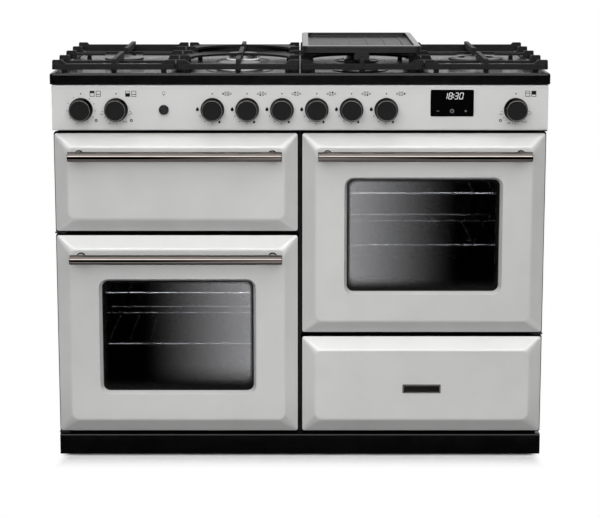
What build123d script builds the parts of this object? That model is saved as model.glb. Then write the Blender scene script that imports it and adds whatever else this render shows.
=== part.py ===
from build123d import *
import math
import os

os.makedirs("parts", exist_ok=True)

# A 110 cm dual fuel range cooker: two side hung ovens, a drop down grill and a storage drawer
# under a six burner gas hob. Millimetres, X to the right, Y to the back, Z up from the floor.

# Overall sizes
FRONT_WIDTH = 1092.0          # doors, fascia and plinth
HOB_WIDTH = 1100.0
BODY_DEPTH = 608.0            # door face to back panel
SIDE_INSET = 6.0              # cabinet sides stand this far inside the door edges
SHEET = 2.0                   # all pressed sheet steel

# Front elevation, from the floor upwards
PLINTH_BASE = 4.0
PLINTH_TOP = 50.0
PLINTH_SETBACK = 12.0         # plinth behind the door faces
BASE_DROP = 10.0              # base pan below the plinth's top
SIDE_LIFT = 10.0              # side panels above the plinth's lower edge
DOOR_GAP = 6.0                # between fronts, all ways
TALL_DOOR = 456.0
SHORT_DOOR = 224.0
FASCIA_HEIGHT = 100.5
RIM_CLEARANCE = 1.5           # fascia to hob skirt
RIM_HEIGHT = 24.5

# Pressed fronts
BEVEL_WIDTH = 31.0
BEVEL_DEPTH = 17.0
EDGE_RADIUS = 4.0
FACE_RADIUS = 18.0
FACE_SOFTNESS = 12.0          # rounding where the bevel meets the raised face
EDGE_SOFTNESS = 4.0           # rounding where the bevel meets the skirt
DOOR_THICKNESS = 44.0
LINER_DEPTH = 5.0             # rim of the inner tray, behind the pressed skin
LINER_INSET = 0.5
SEAL_GAP = 4.0                # door liner to front frame
FRAME_SHEET = 3.0
FASCIA_SETBACK = 1.5          # fascia behind the door faces
HOB_OVERHANG = 2.0            # hob skirt in front of the door faces
WINDOW_SIZE = (340.0, 254.0)
WINDOW_DROP = 4.0             # window centre below the door centre
WINDOW_RADIUS = 15.0
WINDOW_BEVEL = 6.0
WINDOW_DEPTH = 14.0
GLASS = 4.0
OUTER_LAP = 14.0              # glass past the window edge, behind the skin
INNER_LAP = 16.0              # the same on the oven side

# Handles
HANDLE_DIAMETER = 22.0
HANDLE_LENGTH = 470.0
HANDLE_STANDOFF = 36.0        # door face to bar axis
HANDLE_DROP = 48.0            # door top to bar axis
POST_DIAMETER = 18.0
POST_SPACING = 427.0
POST_COLLAR = (3.0, 1.5)      # length, step in radius
GROOVE_INSET = 5.0            # turned groove in from each end of the bar
GROOVE = (1.2, 0.6)           # width, depth

# Ovens and grill
CAVITY_WIDTH = 440.0
OVEN_HEIGHT = 394.0
OVEN_DEPTH = 420.0
GRILL_HEIGHT = 150.0
GRILL_DEPTH = 400.0
SHELF_HEIGHTS = (158.0, 277.0)
SHELF_WIRE = 5.0
SHELF_PITCH = 47.0

# Fascia
KNOB_DIAMETER = 52.0
KNOB_FACE = 44.0
KNOB_PROJECTION = 28.0
KNOB_HEIGHT = 46.0            # knob axis above the fascia's lower edge
GAS_PITCH = 76.5
GAS_CENTRE = -1.5             # middle of the row of six gas knobs
LEFT_KNOBS = (-482.0, -404.5)
RIGHT_KNOB = 474.5
BUTTON_X = -299.5
BUTTON_DIAMETER = 22.0
BUTTON_TRAVEL = 2.5
DISPLAY_SIZE = (95.0, 59.0)
DISPLAY_X = 334.5
DISPLAY_RISE = 60.5           # display centre above the fascia's lower edge
SPINDLE_RADIUS = 4.0

# Hob
DECK_RECESS = 7.0
RIM_WIDTH = 14.0
GRATE_MARGIN = 3.0            # hob edge to the outer pan supports
GRATE_GAP = 2.0
GRATE_SETBACK = 24.0          # front rail behind the door face
ROW_PITCH = 121.0             # five rows of bars
RAIL_WIDTH = 12.0
RAIL_BASE = 12.5              # heights above the deck
RAIL_TOP = 25.0
HIGH_BAR = (22.5, 28.5)
LOW_BAR = (15.5, 21.5)
BLOCK_TOP = 33.5
RIB_BASE = 20.5
RIB_TOP = 36.0
BAR_WIDTH = 9.0
BLOCK_LENGTH = 20.5
FRONT_RAMP = 13.0             # slope from a front block down to the rail
BAR_RAMP = 5.0                # slope from any other block down to its bar
RING_OPENING = 116.0          # radius of the open ring round each burner of a double support
CAP_TOP = 19.5
GRIDDLE_SIZE = (264.0, 408.0)
GRIDDLE_WALL = 15.0
GRIDDLE_LIFT = 14.0           # plate underside above the blocks
GRIDDLE_RIDGES = 6
RIDGE_PITCH = 40.0

RUNNING_GAP = 0.08            # radial clearance of turning pins
SEAT_GAP = 0.3                # between pieces that move past each other

# Derived heights
DOOR_BASE = PLINTH_TOP + DOOR_GAP
DRAWER_TOP = DOOR_BASE + SHORT_DOOR
LEFT_TOP = DOOR_BASE + TALL_DOOR
DOOR_TOP = LEFT_TOP + DOOR_GAP + SHORT_DOOR
FASCIA_BASE = DOOR_TOP + DOOR_GAP
FASCIA_TOP = FASCIA_BASE + FASCIA_HEIGHT
SKIRT_BASE = FASCIA_TOP + RIM_CLEARANCE
RIM_TOP = SKIRT_BASE + RIM_HEIGHT
DECK = RIM_TOP - DECK_RECESS
DECK_UNDER = DECK - SHEET
BASE_LEVEL = PLINTH_TOP - BASE_DROP
SIDE_BASE = PLINTH_BASE + SIDE_LIFT
KNOB_Z = FASCIA_BASE + KNOB_HEIGHT

# Derived depths: the origin is the middle of the whole depth, handles included
FRONT = (HANDLE_STANDOFF + HANDLE_DIAMETER / 2 - BODY_DEPTH) / 2
BACK = FRONT + BODY_DEPTH
EDGE = FRONT + BEVEL_DEPTH
DOOR_BACK = FRONT + DOOR_THICKNESS
SKIN_BACK = DOOR_BACK - LINER_DEPTH
FRAME_FRONT = DOOR_BACK + SEAL_GAP
FRAME_BACK = FRAME_FRONT + FRAME_SHEET
FASCIA_FRONT = FRONT + FASCIA_SETBACK
HOB_FRONT = FRONT - HOB_OVERHANG
GRATE_DEPTH = 4 * ROW_PITCH + RAIL_WIDTH
GRATE_MIDDLE = FRONT + GRATE_SETBACK + RAIL_WIDTH / 2 + 2 * ROW_PITCH
GRATE_Y = (GRATE_MIDDLE - GRATE_DEPTH / 2, GRATE_MIDDLE + GRATE_DEPTH / 2)

# Derived widths
HALF = FRONT_WIDTH / 2
CABINET_HALF = HALF - SIDE_INSET
GRATE_WIDTH = (HOB_WIDTH - 2 * GRATE_MARGIN - 3 * GRATE_GAP) / 4
GRATE_HALF = GRATE_WIDTH / 2
LEFT_X = (-HALF, -DOOR_GAP / 2)
RIGHT_X = (DOOR_GAP / 2, HALF)
TALL_LEFT_Z = (DOOR_BASE, LEFT_TOP)
TALL_RIGHT_Z = (DRAWER_TOP + DOOR_GAP, DOOR_TOP)
GRILL_Z = (LEFT_TOP + DOOR_GAP, DOOR_TOP)
DRAWER_Z = (DOOR_BASE, DRAWER_TOP)


# Small builders

def block(x, y, z):
    """A box from its low and high limits along each axis."""
    spans = (x, y, z)
    middle = [(low + high) / 2 for low, high in spans]
    return Pos(*middle) * Box(*[high - low for low, high in spans])


def rod_x(x, y, z, radius):
    """A round bar along X between two limits."""
    return Pos((x[0] + x[1]) / 2, y, z) * Rot(0, 90, 0) * Cylinder(radius, x[1] - x[0])


def rod_y(x, y, z, radius):
    """A round bar along Y between two limits."""
    return Pos(x, (y[0] + y[1]) / 2, z) * Rot(90, 0, 0) * Cylinder(radius, y[1] - y[0])


def rod_z(x, y, z, radius):
    """A round bar along Z between two limits."""
    return Pos(x, y, (z[0] + z[1]) / 2) * Cylinder(radius, z[1] - z[0])


def inset(span, amount):
    """The span drawn in by the same amount at both ends."""
    return (span[0] + amount, span[1] - amount)


def middle(span):
    return (span[0] + span[1]) / 2


def about(centre, size):
    """The span of a given size about a centre."""
    return (centre - size / 2, centre + size / 2)


def front_face(x, z, radius, y):
    """A rounded rectangle in the plane of the fronts, facing the viewer."""
    plane = Plane(origin=(middle(x), y, middle(z)), x_dir=(1, 0, 0), z_dir=(0, -1, 0))
    return plane * RectangleRounded(x[1] - x[0], z[1] - z[0], radius)


def slab(x, y, z, radius):
    """A rounded rectangle of the front elevation, given thickness along Y."""
    return extrude(front_face(x, z, radius, y[0]), amount=y[1] - y[0], dir=(0, 1, 0))


def flipped(shape):
    """The mirror image on the other side of the cooker's middle."""
    return mirror(shape, about=Plane.YZ)


def as_group(solids):
    """Separate solids that travel under one name."""
    flat = []
    for item in solids:
        flat.extend(item.solids())
    return Compound(children=flat)


def keep(name, shape):
    export_step(shape, f"parts/{name}.step")


# Pressed fronts: a straight skirt, a broad bevel all round and a raised flat with soft corners

def pressed_form(x, z, edge, face, back, tighter):
    """The solid outline of a pressed front, its roundings made tighter for the inside of the sheet."""
    outer = front_face(x, z, EDGE_RADIUS, edge)
    raised = front_face(inset(x, BEVEL_WIDTH), inset(z, BEVEL_WIDTH), FACE_RADIUS, face)
    skirt = extrude(outer, amount=back - edge, dir=(0, 1, 0))
    form = skirt + loft([outer, raised])
    form = fillet(form.faces().sort_by(Axis.Y)[0].outer_wire().edges(), FACE_SOFTNESS - tighter)
    rim = [line for line in form.edges() if abs(line.center().Y - edge) < 0.05]
    return fillet(rim, EDGE_SOFTNESS - tighter)


def pressed_skin(x, z):
    """The form less the same form drawn in by one sheet, open at the back."""
    inner_x, inner_z = inset(x, SHEET), inset(z, SHEET)
    hollow = pressed_form(inner_x, inner_z, EDGE + SHEET, FRONT + SHEET, SKIN_BACK + 1, SHEET)
    return pressed_form(x, z, EDGE, FRONT, SKIN_BACK, 0.0) - hollow


def window_limits(x, z):
    return (about(middle(x), WINDOW_SIZE[0]), about(middle(z) - WINDOW_DROP, WINDOW_SIZE[1]))


def window_well(x, z, grow, front, back):
    """The funnel that leads from the door face down to the glass."""
    wide = front_face(inset(x, -WINDOW_BEVEL - grow), inset(z, -WINDOW_BEVEL - grow),
                      WINDOW_RADIUS + WINDOW_BEVEL + grow, front)
    narrow = front_face(inset(x, -grow), inset(z, -grow), WINDOW_RADIUS + grow, back)
    return loft([wide, narrow])


def glazed_skin(x, z):
    wx, wz = window_limits(x, z)
    glass_front = FRONT + WINDOW_DEPTH
    surround = window_well(wx, wz, SHEET, FRONT, glass_front)
    opening = window_well(wx, wz, 0.0, FRONT, glass_front)
    return pressed_skin(x, z) + surround - opening


def outer_glass(x, z):
    wx, wz = window_limits(x, z)
    glass_front = FRONT + WINDOW_DEPTH
    lap = -OUTER_LAP
    return slab(inset(wx, lap), (glass_front, glass_front + GLASS), inset(wz, lap), WINDOW_RADIUS + 5.0)


def door_liner(x, z, opening):
    """The inner tray of a door, its rim butted to the skin's back edge."""
    wall = LINER_INSET + 2.5
    rim = slab(inset(x, LINER_INSET), (SKIN_BACK, DOOR_BACK), inset(z, LINER_INSET), EDGE_RADIUS)
    dish = slab(inset(x, wall), (SKIN_BACK - 1, DOOR_BACK - SHEET), inset(z, wall), EDGE_RADIUS)
    liner = rim - dish
    if opening:
        wx, wz = window_limits(x, z)
        frame_lap = 6.0
        liner = liner - slab(inset(wx, frame_lap), (SKIN_BACK - 1, DOOR_BACK + 1), inset(wz, frame_lap), 12)
    else:
        swage_x, swage_z = inset(x, 70), inset(z, 55)
        inside = DOOR_BACK - SHEET
        swage = slab(swage_x, (inside - 2.5, DOOR_BACK), swage_z, 16)
        recess = slab(inset(swage_x, SHEET), (inside - 0.5, DOOR_BACK + 1), inset(swage_z, SHEET), 14)
        liner = liner + swage - recess
    return liner


def inner_glass(x, z):
    """The oven side pane, standing proud of the liner into the oven mouth."""
    wx, wz = window_limits(x, z)
    lap = -INNER_LAP
    return slab(inset(wx, lap), (DOOR_BACK, DOOR_BACK + GLASS - 0.5), inset(wz, lap), WINDOW_RADIUS + 1.0)


def handle(x, z):
    """A tubular bar with end grooves, carried by two round posts."""
    bar_y = FRONT - HANDLE_STANDOFF
    bar_z = z[1] - HANDLE_DROP
    span = about(middle(x), HANDLE_LENGTH)
    bar = rod_x(span, bar_y, bar_z, HANDLE_DIAMETER / 2)
    bar = chamfer(bar.edges().filter_by(GeomType.CIRCLE), 1.0)
    for end in inset(span, GROOVE_INSET):
        ring = rod_x(about(end, GROOVE[0]), bar_y, bar_z, HANDLE_DIAMETER / 2 + 1)
        bar = bar - (ring - rod_x(about(end, GROOVE[0]), bar_y, bar_z, HANDLE_DIAMETER / 2 - GROOVE[1]))
    pieces = [bar]
    for side in (-0.5, 0.5):
        post_x = middle(x) + side * POST_SPACING
        post = rod_y(post_x, (bar_y, FRONT), bar_z, POST_DIAMETER / 2)
        collar = rod_y(post_x, (FRONT - POST_COLLAR[0], FRONT), bar_z, POST_DIAMETER / 2 + POST_COLLAR[1])
        pieces.append(post + collar - rod_x(span, bar_y, bar_z, HANDLE_DIAMETER / 2))
    return as_group(pieces)


# Side hung doors turn on pins that stand in brackets in the gaps above and below them

HINGE_INSET = 10.5            # pin axis in from the door's edge
HINGE_REACH = 20.0            # pin axis in front of the frame
HINGE_PIN = 4.0               # radius
HINGE_DEPTH = 20.0            # pin length inside the door
HINGE_NOSE = 8.0              # metal in front of the pin axis
BUSH_WIDTH = 15.0
BUSH_HEIGHT = 18.0
BRACKET_WIDTH = 24.0
BRACKET_SHEET = 3.0
HINGE_Y = FRAME_FRONT - HINGE_REACH


def hinge_socket(hinge_x, z, end):
    """The cut that lets a pin into the door from its top or bottom edge."""
    level = z[1] if end > 0 else z[0]
    span = sorted((level + end * 1.0, level - end * (HINGE_DEPTH + 1.0)))
    return rod_z(hinge_x, HINGE_Y, span, HINGE_PIN + RUNNING_GAP)


def hinge_bushes(hinge_x, z):
    """Two bored blocks inside the skin, one at the top and one at the bottom."""
    bushes = []
    for end in (1, -1):
        level = (z[1] if end > 0 else z[0]) - end * SHEET
        span = sorted((level, level - end * BUSH_HEIGHT))
        solid = block(about(hinge_x, BUSH_WIDTH), (HINGE_Y - HINGE_NOSE, SKIN_BACK - LINER_INSET), span)
        bushes.append(solid - hinge_socket(hinge_x, z, end))
    return bushes


def hinge_bracket(hinge_x, z, end):
    """A flat plate butted to the front frame, with the pin standing in it."""
    level = (z[1] if end > 0 else z[0]) + end * DOOR_GAP / 2
    reach = (HINGE_Y - HINGE_NOSE, FRAME_FRONT)
    plate = block(about(hinge_x, BRACKET_WIDTH), reach, about(level, BRACKET_SHEET))
    span = sorted((level, level - end * (DOOR_GAP / 2 + HINGE_DEPTH)))
    return plate + rod_z(hinge_x, HINGE_Y, span, HINGE_PIN)


def side_hung_skin(x, z, hinge_x):
    skin = glazed_skin(x, z)
    for end, bush in zip((1, -1), hinge_bushes(hinge_x, z)):
        skin = skin + bush - hinge_socket(hinge_x, z, end)
    return skin


# The grill door turns on two cranked arms that reach into it from the front frame. The arms stand
# above the pivot, so the open door needs only a notch in its lower edge and none in its face.

PIVOT_RISE = 18.0             # pivot above the grill door's lower edge
PIVOT_Y = EDGE + 1.5
PIVOT_Z = GRILL_Z[0] + PIVOT_RISE
PIVOT_PIN = 3.5               # radius
ARM_WIDTH = 5.0
ARM_SPACING = 430.0
ARM_BAND = (6.0, 14.0)        # the arm's lower and upper edge above the pivot
ARM_NOSE = 6.0                # radius of the arm's end round its pin
PIVOT_LENGTH = 16.0
PIVOT_BUSH = 14.0
HEEL_CUT = 5.5                # grill liner cut back at its lower edge, to swing clear of the frame
ARM_CENTRES = about(middle(LEFT_X), ARM_SPACING)


def grill_arm(centre, inward):
    """A cranked flat arm butted to the front frame, with the pivot pin through its nose."""
    near, far = PIVOT_Y - ARM_NOSE, PIVOT_Y + ARM_NOSE
    low, high = PIVOT_Z + ARM_BAND[0], PIVOT_Z + ARM_BAND[1]
    outline = Polyline(
        (near, PIVOT_Z), (near, high), (FRAME_FRONT, high), (FRAME_FRONT, low), (far, low), (far, PIVOT_Z),
        close=True,
    )
    arm = extrude(Plane.YZ * make_face(outline), amount=ARM_WIDTH / 2, both=True)
    arm = arm + rod_x(about(0, ARM_WIDTH), PIVOT_Y, PIVOT_Z, ARM_NOSE)
    arm = arm + rod_x(sorted((0, inward * PIVOT_LENGTH)), PIVOT_Y, PIVOT_Z, PIVOT_PIN)
    return Pos(centre, 0, 0) * arm


def arm_notch(centre):
    """The way the arm passes through the door's lower back corner as the door drops."""
    return block(about(centre, ARM_WIDTH + 3.0), (PIVOT_Y + ARM_BAND[0] - 1.5, DOOR_BACK + 1),
                 (GRILL_Z[0] - 1, PIVOT_Z + ARM_BAND[1] + 2.0))


def pivot_bush(centre, inward):
    """A bored block inside the skin, beside the arm's nose."""
    near = inward * (ARM_WIDTH / 2 + SEAT_GAP)
    span = sorted((centre + near, centre + near + inward * PIVOT_BUSH))
    bush = block(span, (PIVOT_Y - ARM_NOSE, PIVOT_Y + 10.0), (PIVOT_Z - 10.0, PIVOT_Z + 9.0))
    bush = bush + block(span, (PIVOT_Y, PIVOT_Y + 10.0), (GRILL_Z[0] + SHEET / 2, PIVOT_Z))
    return bush - rod_x(inset(span, -1), PIVOT_Y, PIVOT_Z, PIVOT_PIN + RUNNING_GAP)


# The left oven door is the right one's mirror image, hung lower
right_skin = side_hung_skin(RIGHT_X, TALL_RIGHT_Z, RIGHT_X[1] - HINGE_INSET)
keep("right_door_skin", right_skin)
keep("left_door_skin", Pos(0, 0, TALL_LEFT_Z[0] - TALL_RIGHT_Z[0]) * flipped(right_skin))
for side, x, z in (("left", LEFT_X, TALL_LEFT_Z), ("right", RIGHT_X, TALL_RIGHT_Z)):
    keep(f"{side}_door_liner", door_liner(x, z, opening=True))
    keep(f"{side}_door_glazing", as_group([outer_glass(x, z), inner_glass(x, z)]))
    keep(f"{side}_door_handle", handle(x, z))

grill_skin = pressed_skin(LEFT_X, GRILL_Z)
grill_liner = door_liner(LEFT_X, GRILL_Z, opening=False)
heel = block(inset(LEFT_X, -1), (SKIN_BACK - 1, DOOR_BACK + 1), (GRILL_Z[0], GRILL_Z[0] + HEEL_CUT))
grill_liner = grill_liner - heel
for centre, inward in zip(ARM_CENTRES, (1, -1)):
    grill_skin = grill_skin - arm_notch(centre) + pivot_bush(centre, inward)
    grill_liner = grill_liner - arm_notch(centre)
keep("grill_door_skin", grill_skin)
keep("grill_door_liner", grill_liner)
keep("grill_door_handle", handle(LEFT_X, GRILL_Z))

brackets = []
for x, z, hinge_x in (
    (LEFT_X, TALL_LEFT_Z, LEFT_X[0] + HINGE_INSET),
    (RIGHT_X, TALL_RIGHT_Z, RIGHT_X[1] - HINGE_INSET),
):
    brackets.append(hinge_bracket(hinge_x, z, 1))
    brackets.append(hinge_bracket(hinge_x, z, -1))
brackets.extend(grill_arm(centre, inward) for centre, inward in zip(ARM_CENTRES, (1, -1)))
keep("hinge_brackets", as_group(brackets))


# Cavities: open fronted boxes with a flange that bolts to the back of the front frame

def cavity_limits(x, z, height):
    return (about(middle(x), CAVITY_WIDTH), about(middle(z), height))


def cavity(x, z, height, depth, bores):
    cx, cz = cavity_limits(x, z, height)
    rear = FRAME_BACK + depth
    inside = slab(cx, (FRAME_BACK - 1, rear), cz, 12)
    box = slab(inset(cx, -SHEET), (FRAME_BACK, rear + SHEET), inset(cz, -SHEET), 14)
    flange = slab(inset(cx, -14), (FRAME_BACK, FRAME_BACK + SHEET), inset(cz, -14), 20)
    shell = box + flange - inside
    for bore_x, bore_z, radius in bores:
        shell = shell - rod_y(bore_x, (rear - 1, rear + SHEET + 1), bore_z, radius)
    return shell


OVEN_REAR = FRAME_BACK + OVEN_DEPTH
FAN_RADIUS = 76.0
FAN_BLADES = 12
FAN_COVER = (330.0, 300.0)    # on the oven's back wall
COVER_DEPTH = 34.0
COVER_TAPER = 17.0            # each side draws in this much towards the front
FAN_SLOTS = 16
SLOT_SIZE = (44.0, 6.0)
SLOT_CENTRE = 54.0            # from the fan's axis
RING_RADIUS = 98.0
RING_TUBE = 3.2
LADDER_OFFSET = 7.0           # ladder uprights off the oven wall
LADDER_WIRE = 2.5             # radius
RUNG_WIRE = 3.0
SHELF_EDGE = LADDER_OFFSET + LADDER_WIRE + SHELF_WIRE / 2 + SEAT_GAP
OVENS = (("left", LEFT_X, TALL_LEFT_Z), ("right", RIGHT_X, TALL_RIGHT_Z))


def ladder(wall_x, inward, floor_z):
    """Bent wire runners on one oven wall: uprights on stand-offs, with a rung under each shelf."""
    upright_x = wall_x + inward * LADDER_OFFSET
    rung_x = upright_x + inward * (LADDER_WIRE + RUNG_WIRE - 0.4)
    front = FRAME_BACK + 50.0
    rear = OVEN_REAR - 60.0
    low = floor_z + 60.0
    high = floor_z + OVEN_HEIGHT - 40.0
    levels = [floor_z + height - SHELF_WIRE / 2 - RUNG_WIRE for height in SHELF_HEIGHTS]
    levels += [level + SHELF_WIRE + 2 * RUNG_WIRE + 10.0 for level in levels]
    frame = rod_y(rung_x, (front - 12.0, rear + 12.0), levels[0], RUNG_WIRE)
    for y in (front, rear):
        frame = frame + rod_z(upright_x, y, (low, high), LADDER_WIRE)
        for level in (low + 12.0, high - 12.0):
            frame = frame + rod_x(sorted((wall_x, upright_x)), y, level, LADDER_WIRE)
    for level in levels[1:]:
        frame = frame + rod_y(rung_x, (front - 12.0, rear + 12.0), level, RUNG_WIRE)
    return frame


def shelf(x, level):
    """A wire shelf: a round frame with cross wires laid over its front and back bars."""
    radius = SHELF_WIRE / 2
    span = inset(about(middle(x), CAVITY_WIDTH), SHELF_EDGE)
    front = FRAME_BACK + 24.0
    rear = OVEN_REAR - 84.0
    wires = rod_x(span, front, level, radius)
    wires = wires + rod_x(span, rear, level, radius)
    for edge in span:
        wires = wires + rod_y(edge, (front, rear), level, radius)
        for y in (front, rear):
            wires = wires + Pos(edge, y, level) * Sphere(radius)
    count = int((span[1] - span[0]) / SHELF_PITCH)
    for index in range(count):
        wire_x = middle(span) + (index - (count - 1) / 2) * SHELF_PITCH
        wires = wires + rod_y(wire_x, (front - 2.5, rear + 2.5), level + 1.5 * radius, 0.9 * radius)
    stop = rod_x(inset(span, 20), rear, level + 16.0, radius)
    for edge in inset(span, 20):
        stop = stop + rod_z(edge, rear, (level, level + 16.0), radius)
        stop = stop + Pos(edge, rear, level + 16.0) * Sphere(radius)
    return wires + stop


def fan_cover(cx, cz):
    """A dished plate on the oven's back wall, with a ring of slots in front of the fan."""
    front = OVEN_REAR - COVER_DEPTH
    x, z = about(cx, FAN_COVER[0]), about(cz, FAN_COVER[1])
    crown_x, crown_z = inset(x, COVER_TAPER), inset(z, COVER_TAPER)
    outside = loft([front_face(x, z, 30, OVEN_REAR), front_face(crown_x, crown_z, 26, front)])
    inside = loft([
        front_face(inset(x, SHEET), inset(z, SHEET), 28, OVEN_REAR + 0.1),
        front_face(inset(crown_x, SHEET), inset(crown_z, SHEET), 24, front + SHEET),
    ])
    plane = Plane(origin=(cx, front - 1, cz), x_dir=(1, 0, 0), z_dir=(0, -1, 0))
    cuts = []
    for index in range(FAN_SLOTS):
        slot = Pos(SLOT_CENTRE, 0, 0) * SlotOverall(*SLOT_SIZE)
        face = plane * (Rot(0, 0, index * 360 / FAN_SLOTS) * slot)
        cuts.append(extrude(face, amount=SHEET + 2, dir=(0, 1, 0)))
    return outside - inside - cuts


def fan_rotor(cx, cz):
    """A back disc with a hub and twelve radial blades bent up from it."""
    disc_y = (OVEN_REAR - 9.0, OVEN_REAR - 7.5)
    rotor = rod_y(cx, disc_y, cz, FAN_RADIUS)
    rotor = rotor + rod_y(cx, (disc_y[0] - 9.0, disc_y[1]), cz, 9.0)
    for index in range(FAN_BLADES):
        blade = block((FAN_RADIUS - 30, FAN_RADIUS - 1), (disc_y[0] - 16.0, disc_y[0] + 0.5), (-0.8, 0.8))
        rotor = rotor + Pos(cx, 0, cz) * Rot(0, index * 360 / FAN_BLADES, 0) * blade
    return rotor - rod_y(cx, (disc_y[0] - 20.0, disc_y[1] + 1), cz, SPINDLE_RADIUS + RUNNING_GAP)


def fan_motor(cx, cz):
    """The motor on the outside of the oven's back wall, its shaft reaching through into the rotor."""
    wall = OVEN_REAR + SHEET
    body = rod_y(cx, (wall, wall + 6.0), cz, 34.0)
    body = body + rod_y(cx, (wall + 6.0, wall + 46.0), cz, 27.0)
    return body + rod_y(cx, (OVEN_REAR - 16.0, wall), cz, SPINDLE_RADIUS)


def ring_element(cx, cz):
    """A tubular heater bent round the fan, held by two terminal sleeves on the back wall."""
    ring_y = OVEN_REAR - 15.0
    ring = Pos(cx, ring_y, cz) * Rot(90, 0, 0) * Torus(RING_RADIUS, RING_TUBE)
    for angle in (80.0, 100.0):
        end_x = cx + RING_RADIUS * math.cos(math.radians(angle))
        end_z = cz + RING_RADIUS * math.sin(math.radians(angle))
        ring = ring + rod_y(end_x, (ring_y - 5.0, OVEN_REAR), end_z, 5.5)
    return ring


def lamp(cx, cz):
    """A lamp glass in its collar, high on the back wall."""
    collar = rod_y(cx, (OVEN_REAR - 5.0, OVEN_REAR), cz, 17.0)
    dome = rod_y(cx, (OVEN_REAR - 12.0, OVEN_REAR - 4.0), cz, 13.0)
    return collar + fillet(dome.edges().group_by(Axis.Y)[0], 5.0)


def oven_seal(x, z):
    """A flat gasket round the oven mouth, just clear of the closed door."""
    cx, cz = cavity_limits(x, z, OVEN_HEIGHT)
    depth = (FRAME_FRONT - SEAL_GAP + SEAT_GAP, FRAME_FRONT)
    gasket = slab(inset(cx, -13), depth, inset(cz, -13), 22)
    return gasket - slab(inset(cx, -4), inset(depth, -1), inset(cz, -4), 14)


seals, ladders, shelves, covers, motors, elements, lamps = [], [], [], [], [], [], []
for side, x, z in OVENS:
    cx, cz = cavity_limits(x, z, OVEN_HEIGHT)
    fan_x, fan_z = middle(cx), middle(cz)
    shaft_bore = (fan_x, fan_z, SPINDLE_RADIUS + 2.0)
    keep(f"{side}_oven_cavity", cavity(x, z, OVEN_HEIGHT, OVEN_DEPTH, [shaft_bore]))
    keep(f"{side}_oven_fan", fan_rotor(fan_x, fan_z))
    seals.append(oven_seal(x, z))
    ladders.append(ladder(cx[0], 1, cz[0]))
    ladders.append(ladder(cx[1], -1, cz[0]))
    shelves.extend(shelf(x, cz[0] + height) for height in SHELF_HEIGHTS)
    covers.append(fan_cover(fan_x, fan_z))
    motors.append(fan_motor(fan_x, fan_z))
    elements.append(ring_element(fan_x, fan_z))
    lamps.append(lamp(cx[1] - 34.0, cz[1] - 34.0))
keep("oven_seals", as_group(seals))
keep("shelf_ladders", as_group(ladders))
keep("oven_shelves", as_group(shelves))
keep("fan_covers", as_group(covers))
keep("fan_motors", as_group(motors))
keep("oven_lamps", as_group(lamps))


# Grill: cavity with pressed ledges, a looped element under its roof, and the pan on the ledges

GRILL_REAR = FRAME_BACK + GRILL_DEPTH
GRILL_X, GRILL_SPAN = cavity_limits(LEFT_X, GRILL_Z, GRILL_HEIGHT)
LEDGE = 14.0
LEDGE_LEVEL = GRILL_SPAN[0] + 62.0

grill_box = cavity(LEFT_X, GRILL_Z, GRILL_HEIGHT, GRILL_DEPTH, [])
for wall, inward in ((GRILL_X[0], 1), (GRILL_X[1], -1)):
    ledge_x = sorted((wall - inward * 1.0, wall + inward * LEDGE))
    grill_box = grill_box + block(ledge_x, (FRAME_BACK + 20.0, GRILL_REAR), about(LEDGE_LEVEL - 1.0, SHEET))
keep("grill_cavity", grill_box)


def grill_element():
    """A tubular heater looped to and fro, with its two ends in the back wall."""
    level = GRILL_SPAN[1] - 20.0
    front = FRAME_BACK + 70.0
    turn = GRILL_REAR - 70.0
    pitch = 46.0
    first = middle(GRILL_X) - 3.5 * pitch
    radius = pitch / 2
    path = [Line((first, GRILL_REAR, level), (first, front, level))]
    for index in range(7):
        here = first + index * pitch
        y = front if index % 2 == 0 else turn
        bulge = -radius if index % 2 == 0 else radius
        crest = (here + radius, y + bulge, level)
        path.append(ThreePointArc((here, y, level), crest, (here + pitch, y, level)))
        other = turn if index % 2 == 0 else front
        stop = GRILL_REAR if index == 6 else other
        path.append(Line((here + pitch, y, level), (here + pitch, stop, level)))
    section = Plane(origin=(first, GRILL_REAR, level), z_dir=(0, -1, 0)) * Circle(3.6)
    return sweep(section, path=Wire(path))


def grill_pan():
    """A pan hung by its rim on the ledges, with a wire trivet standing in it."""
    rim_x = inset(GRILL_X, 3.0)
    pan_x = inset(GRILL_X, LEDGE + 4.0)
    pan_y = (FRAME_BACK + 30.0, GRILL_REAR - 40.0)
    rim = block(rim_x, pan_y, (LEDGE_LEVEL, LEDGE_LEVEL + SHEET))
    body = block(pan_x, inset(pan_y, 4.0), (LEDGE_LEVEL - 34.0, LEDGE_LEVEL + SHEET))
    body = fillet(body.edges().filter_by(Axis.Z), 18.0)
    body = fillet(body.faces().sort_by(Axis.Z)[0].edges(), 8.0)
    hollow = block(inset(pan_x, SHEET), inset(pan_y, 4.0 + SHEET), (LEDGE_LEVEL - 32.0, LEDGE_LEVEL + 4.0))
    hollow = fillet(hollow.edges().filter_by(Axis.Z), 16.0)
    pan = rim + body - hollow
    floor = LEDGE_LEVEL - 32.0
    top = LEDGE_LEVEL - 8.0
    wires = None
    span_y = inset(pan_y, 26.0)
    for y in span_y:
        bar = rod_x(inset(pan_x, 24.0), y, top, 2.5)
        wires = bar if wires is None else wires + bar
        for x in inset(pan_x, 30.0):
            wires = wires + rod_z(x, y, (floor, top), 2.5)
    for index in range(12):
        x = pan_x[0] + 30.0 + index * (pan_x[1] - pan_x[0] - 60.0) / 11
        wires = wires + rod_y(x, span_y, top + 2.0, 2.0)
    return as_group([pan, wires])


elements.append(grill_element())
keep("heating_elements", as_group(elements))
keep("grill_pan", grill_pan())


# Drawer: pressed front, sheet box and a pair of slides

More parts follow.
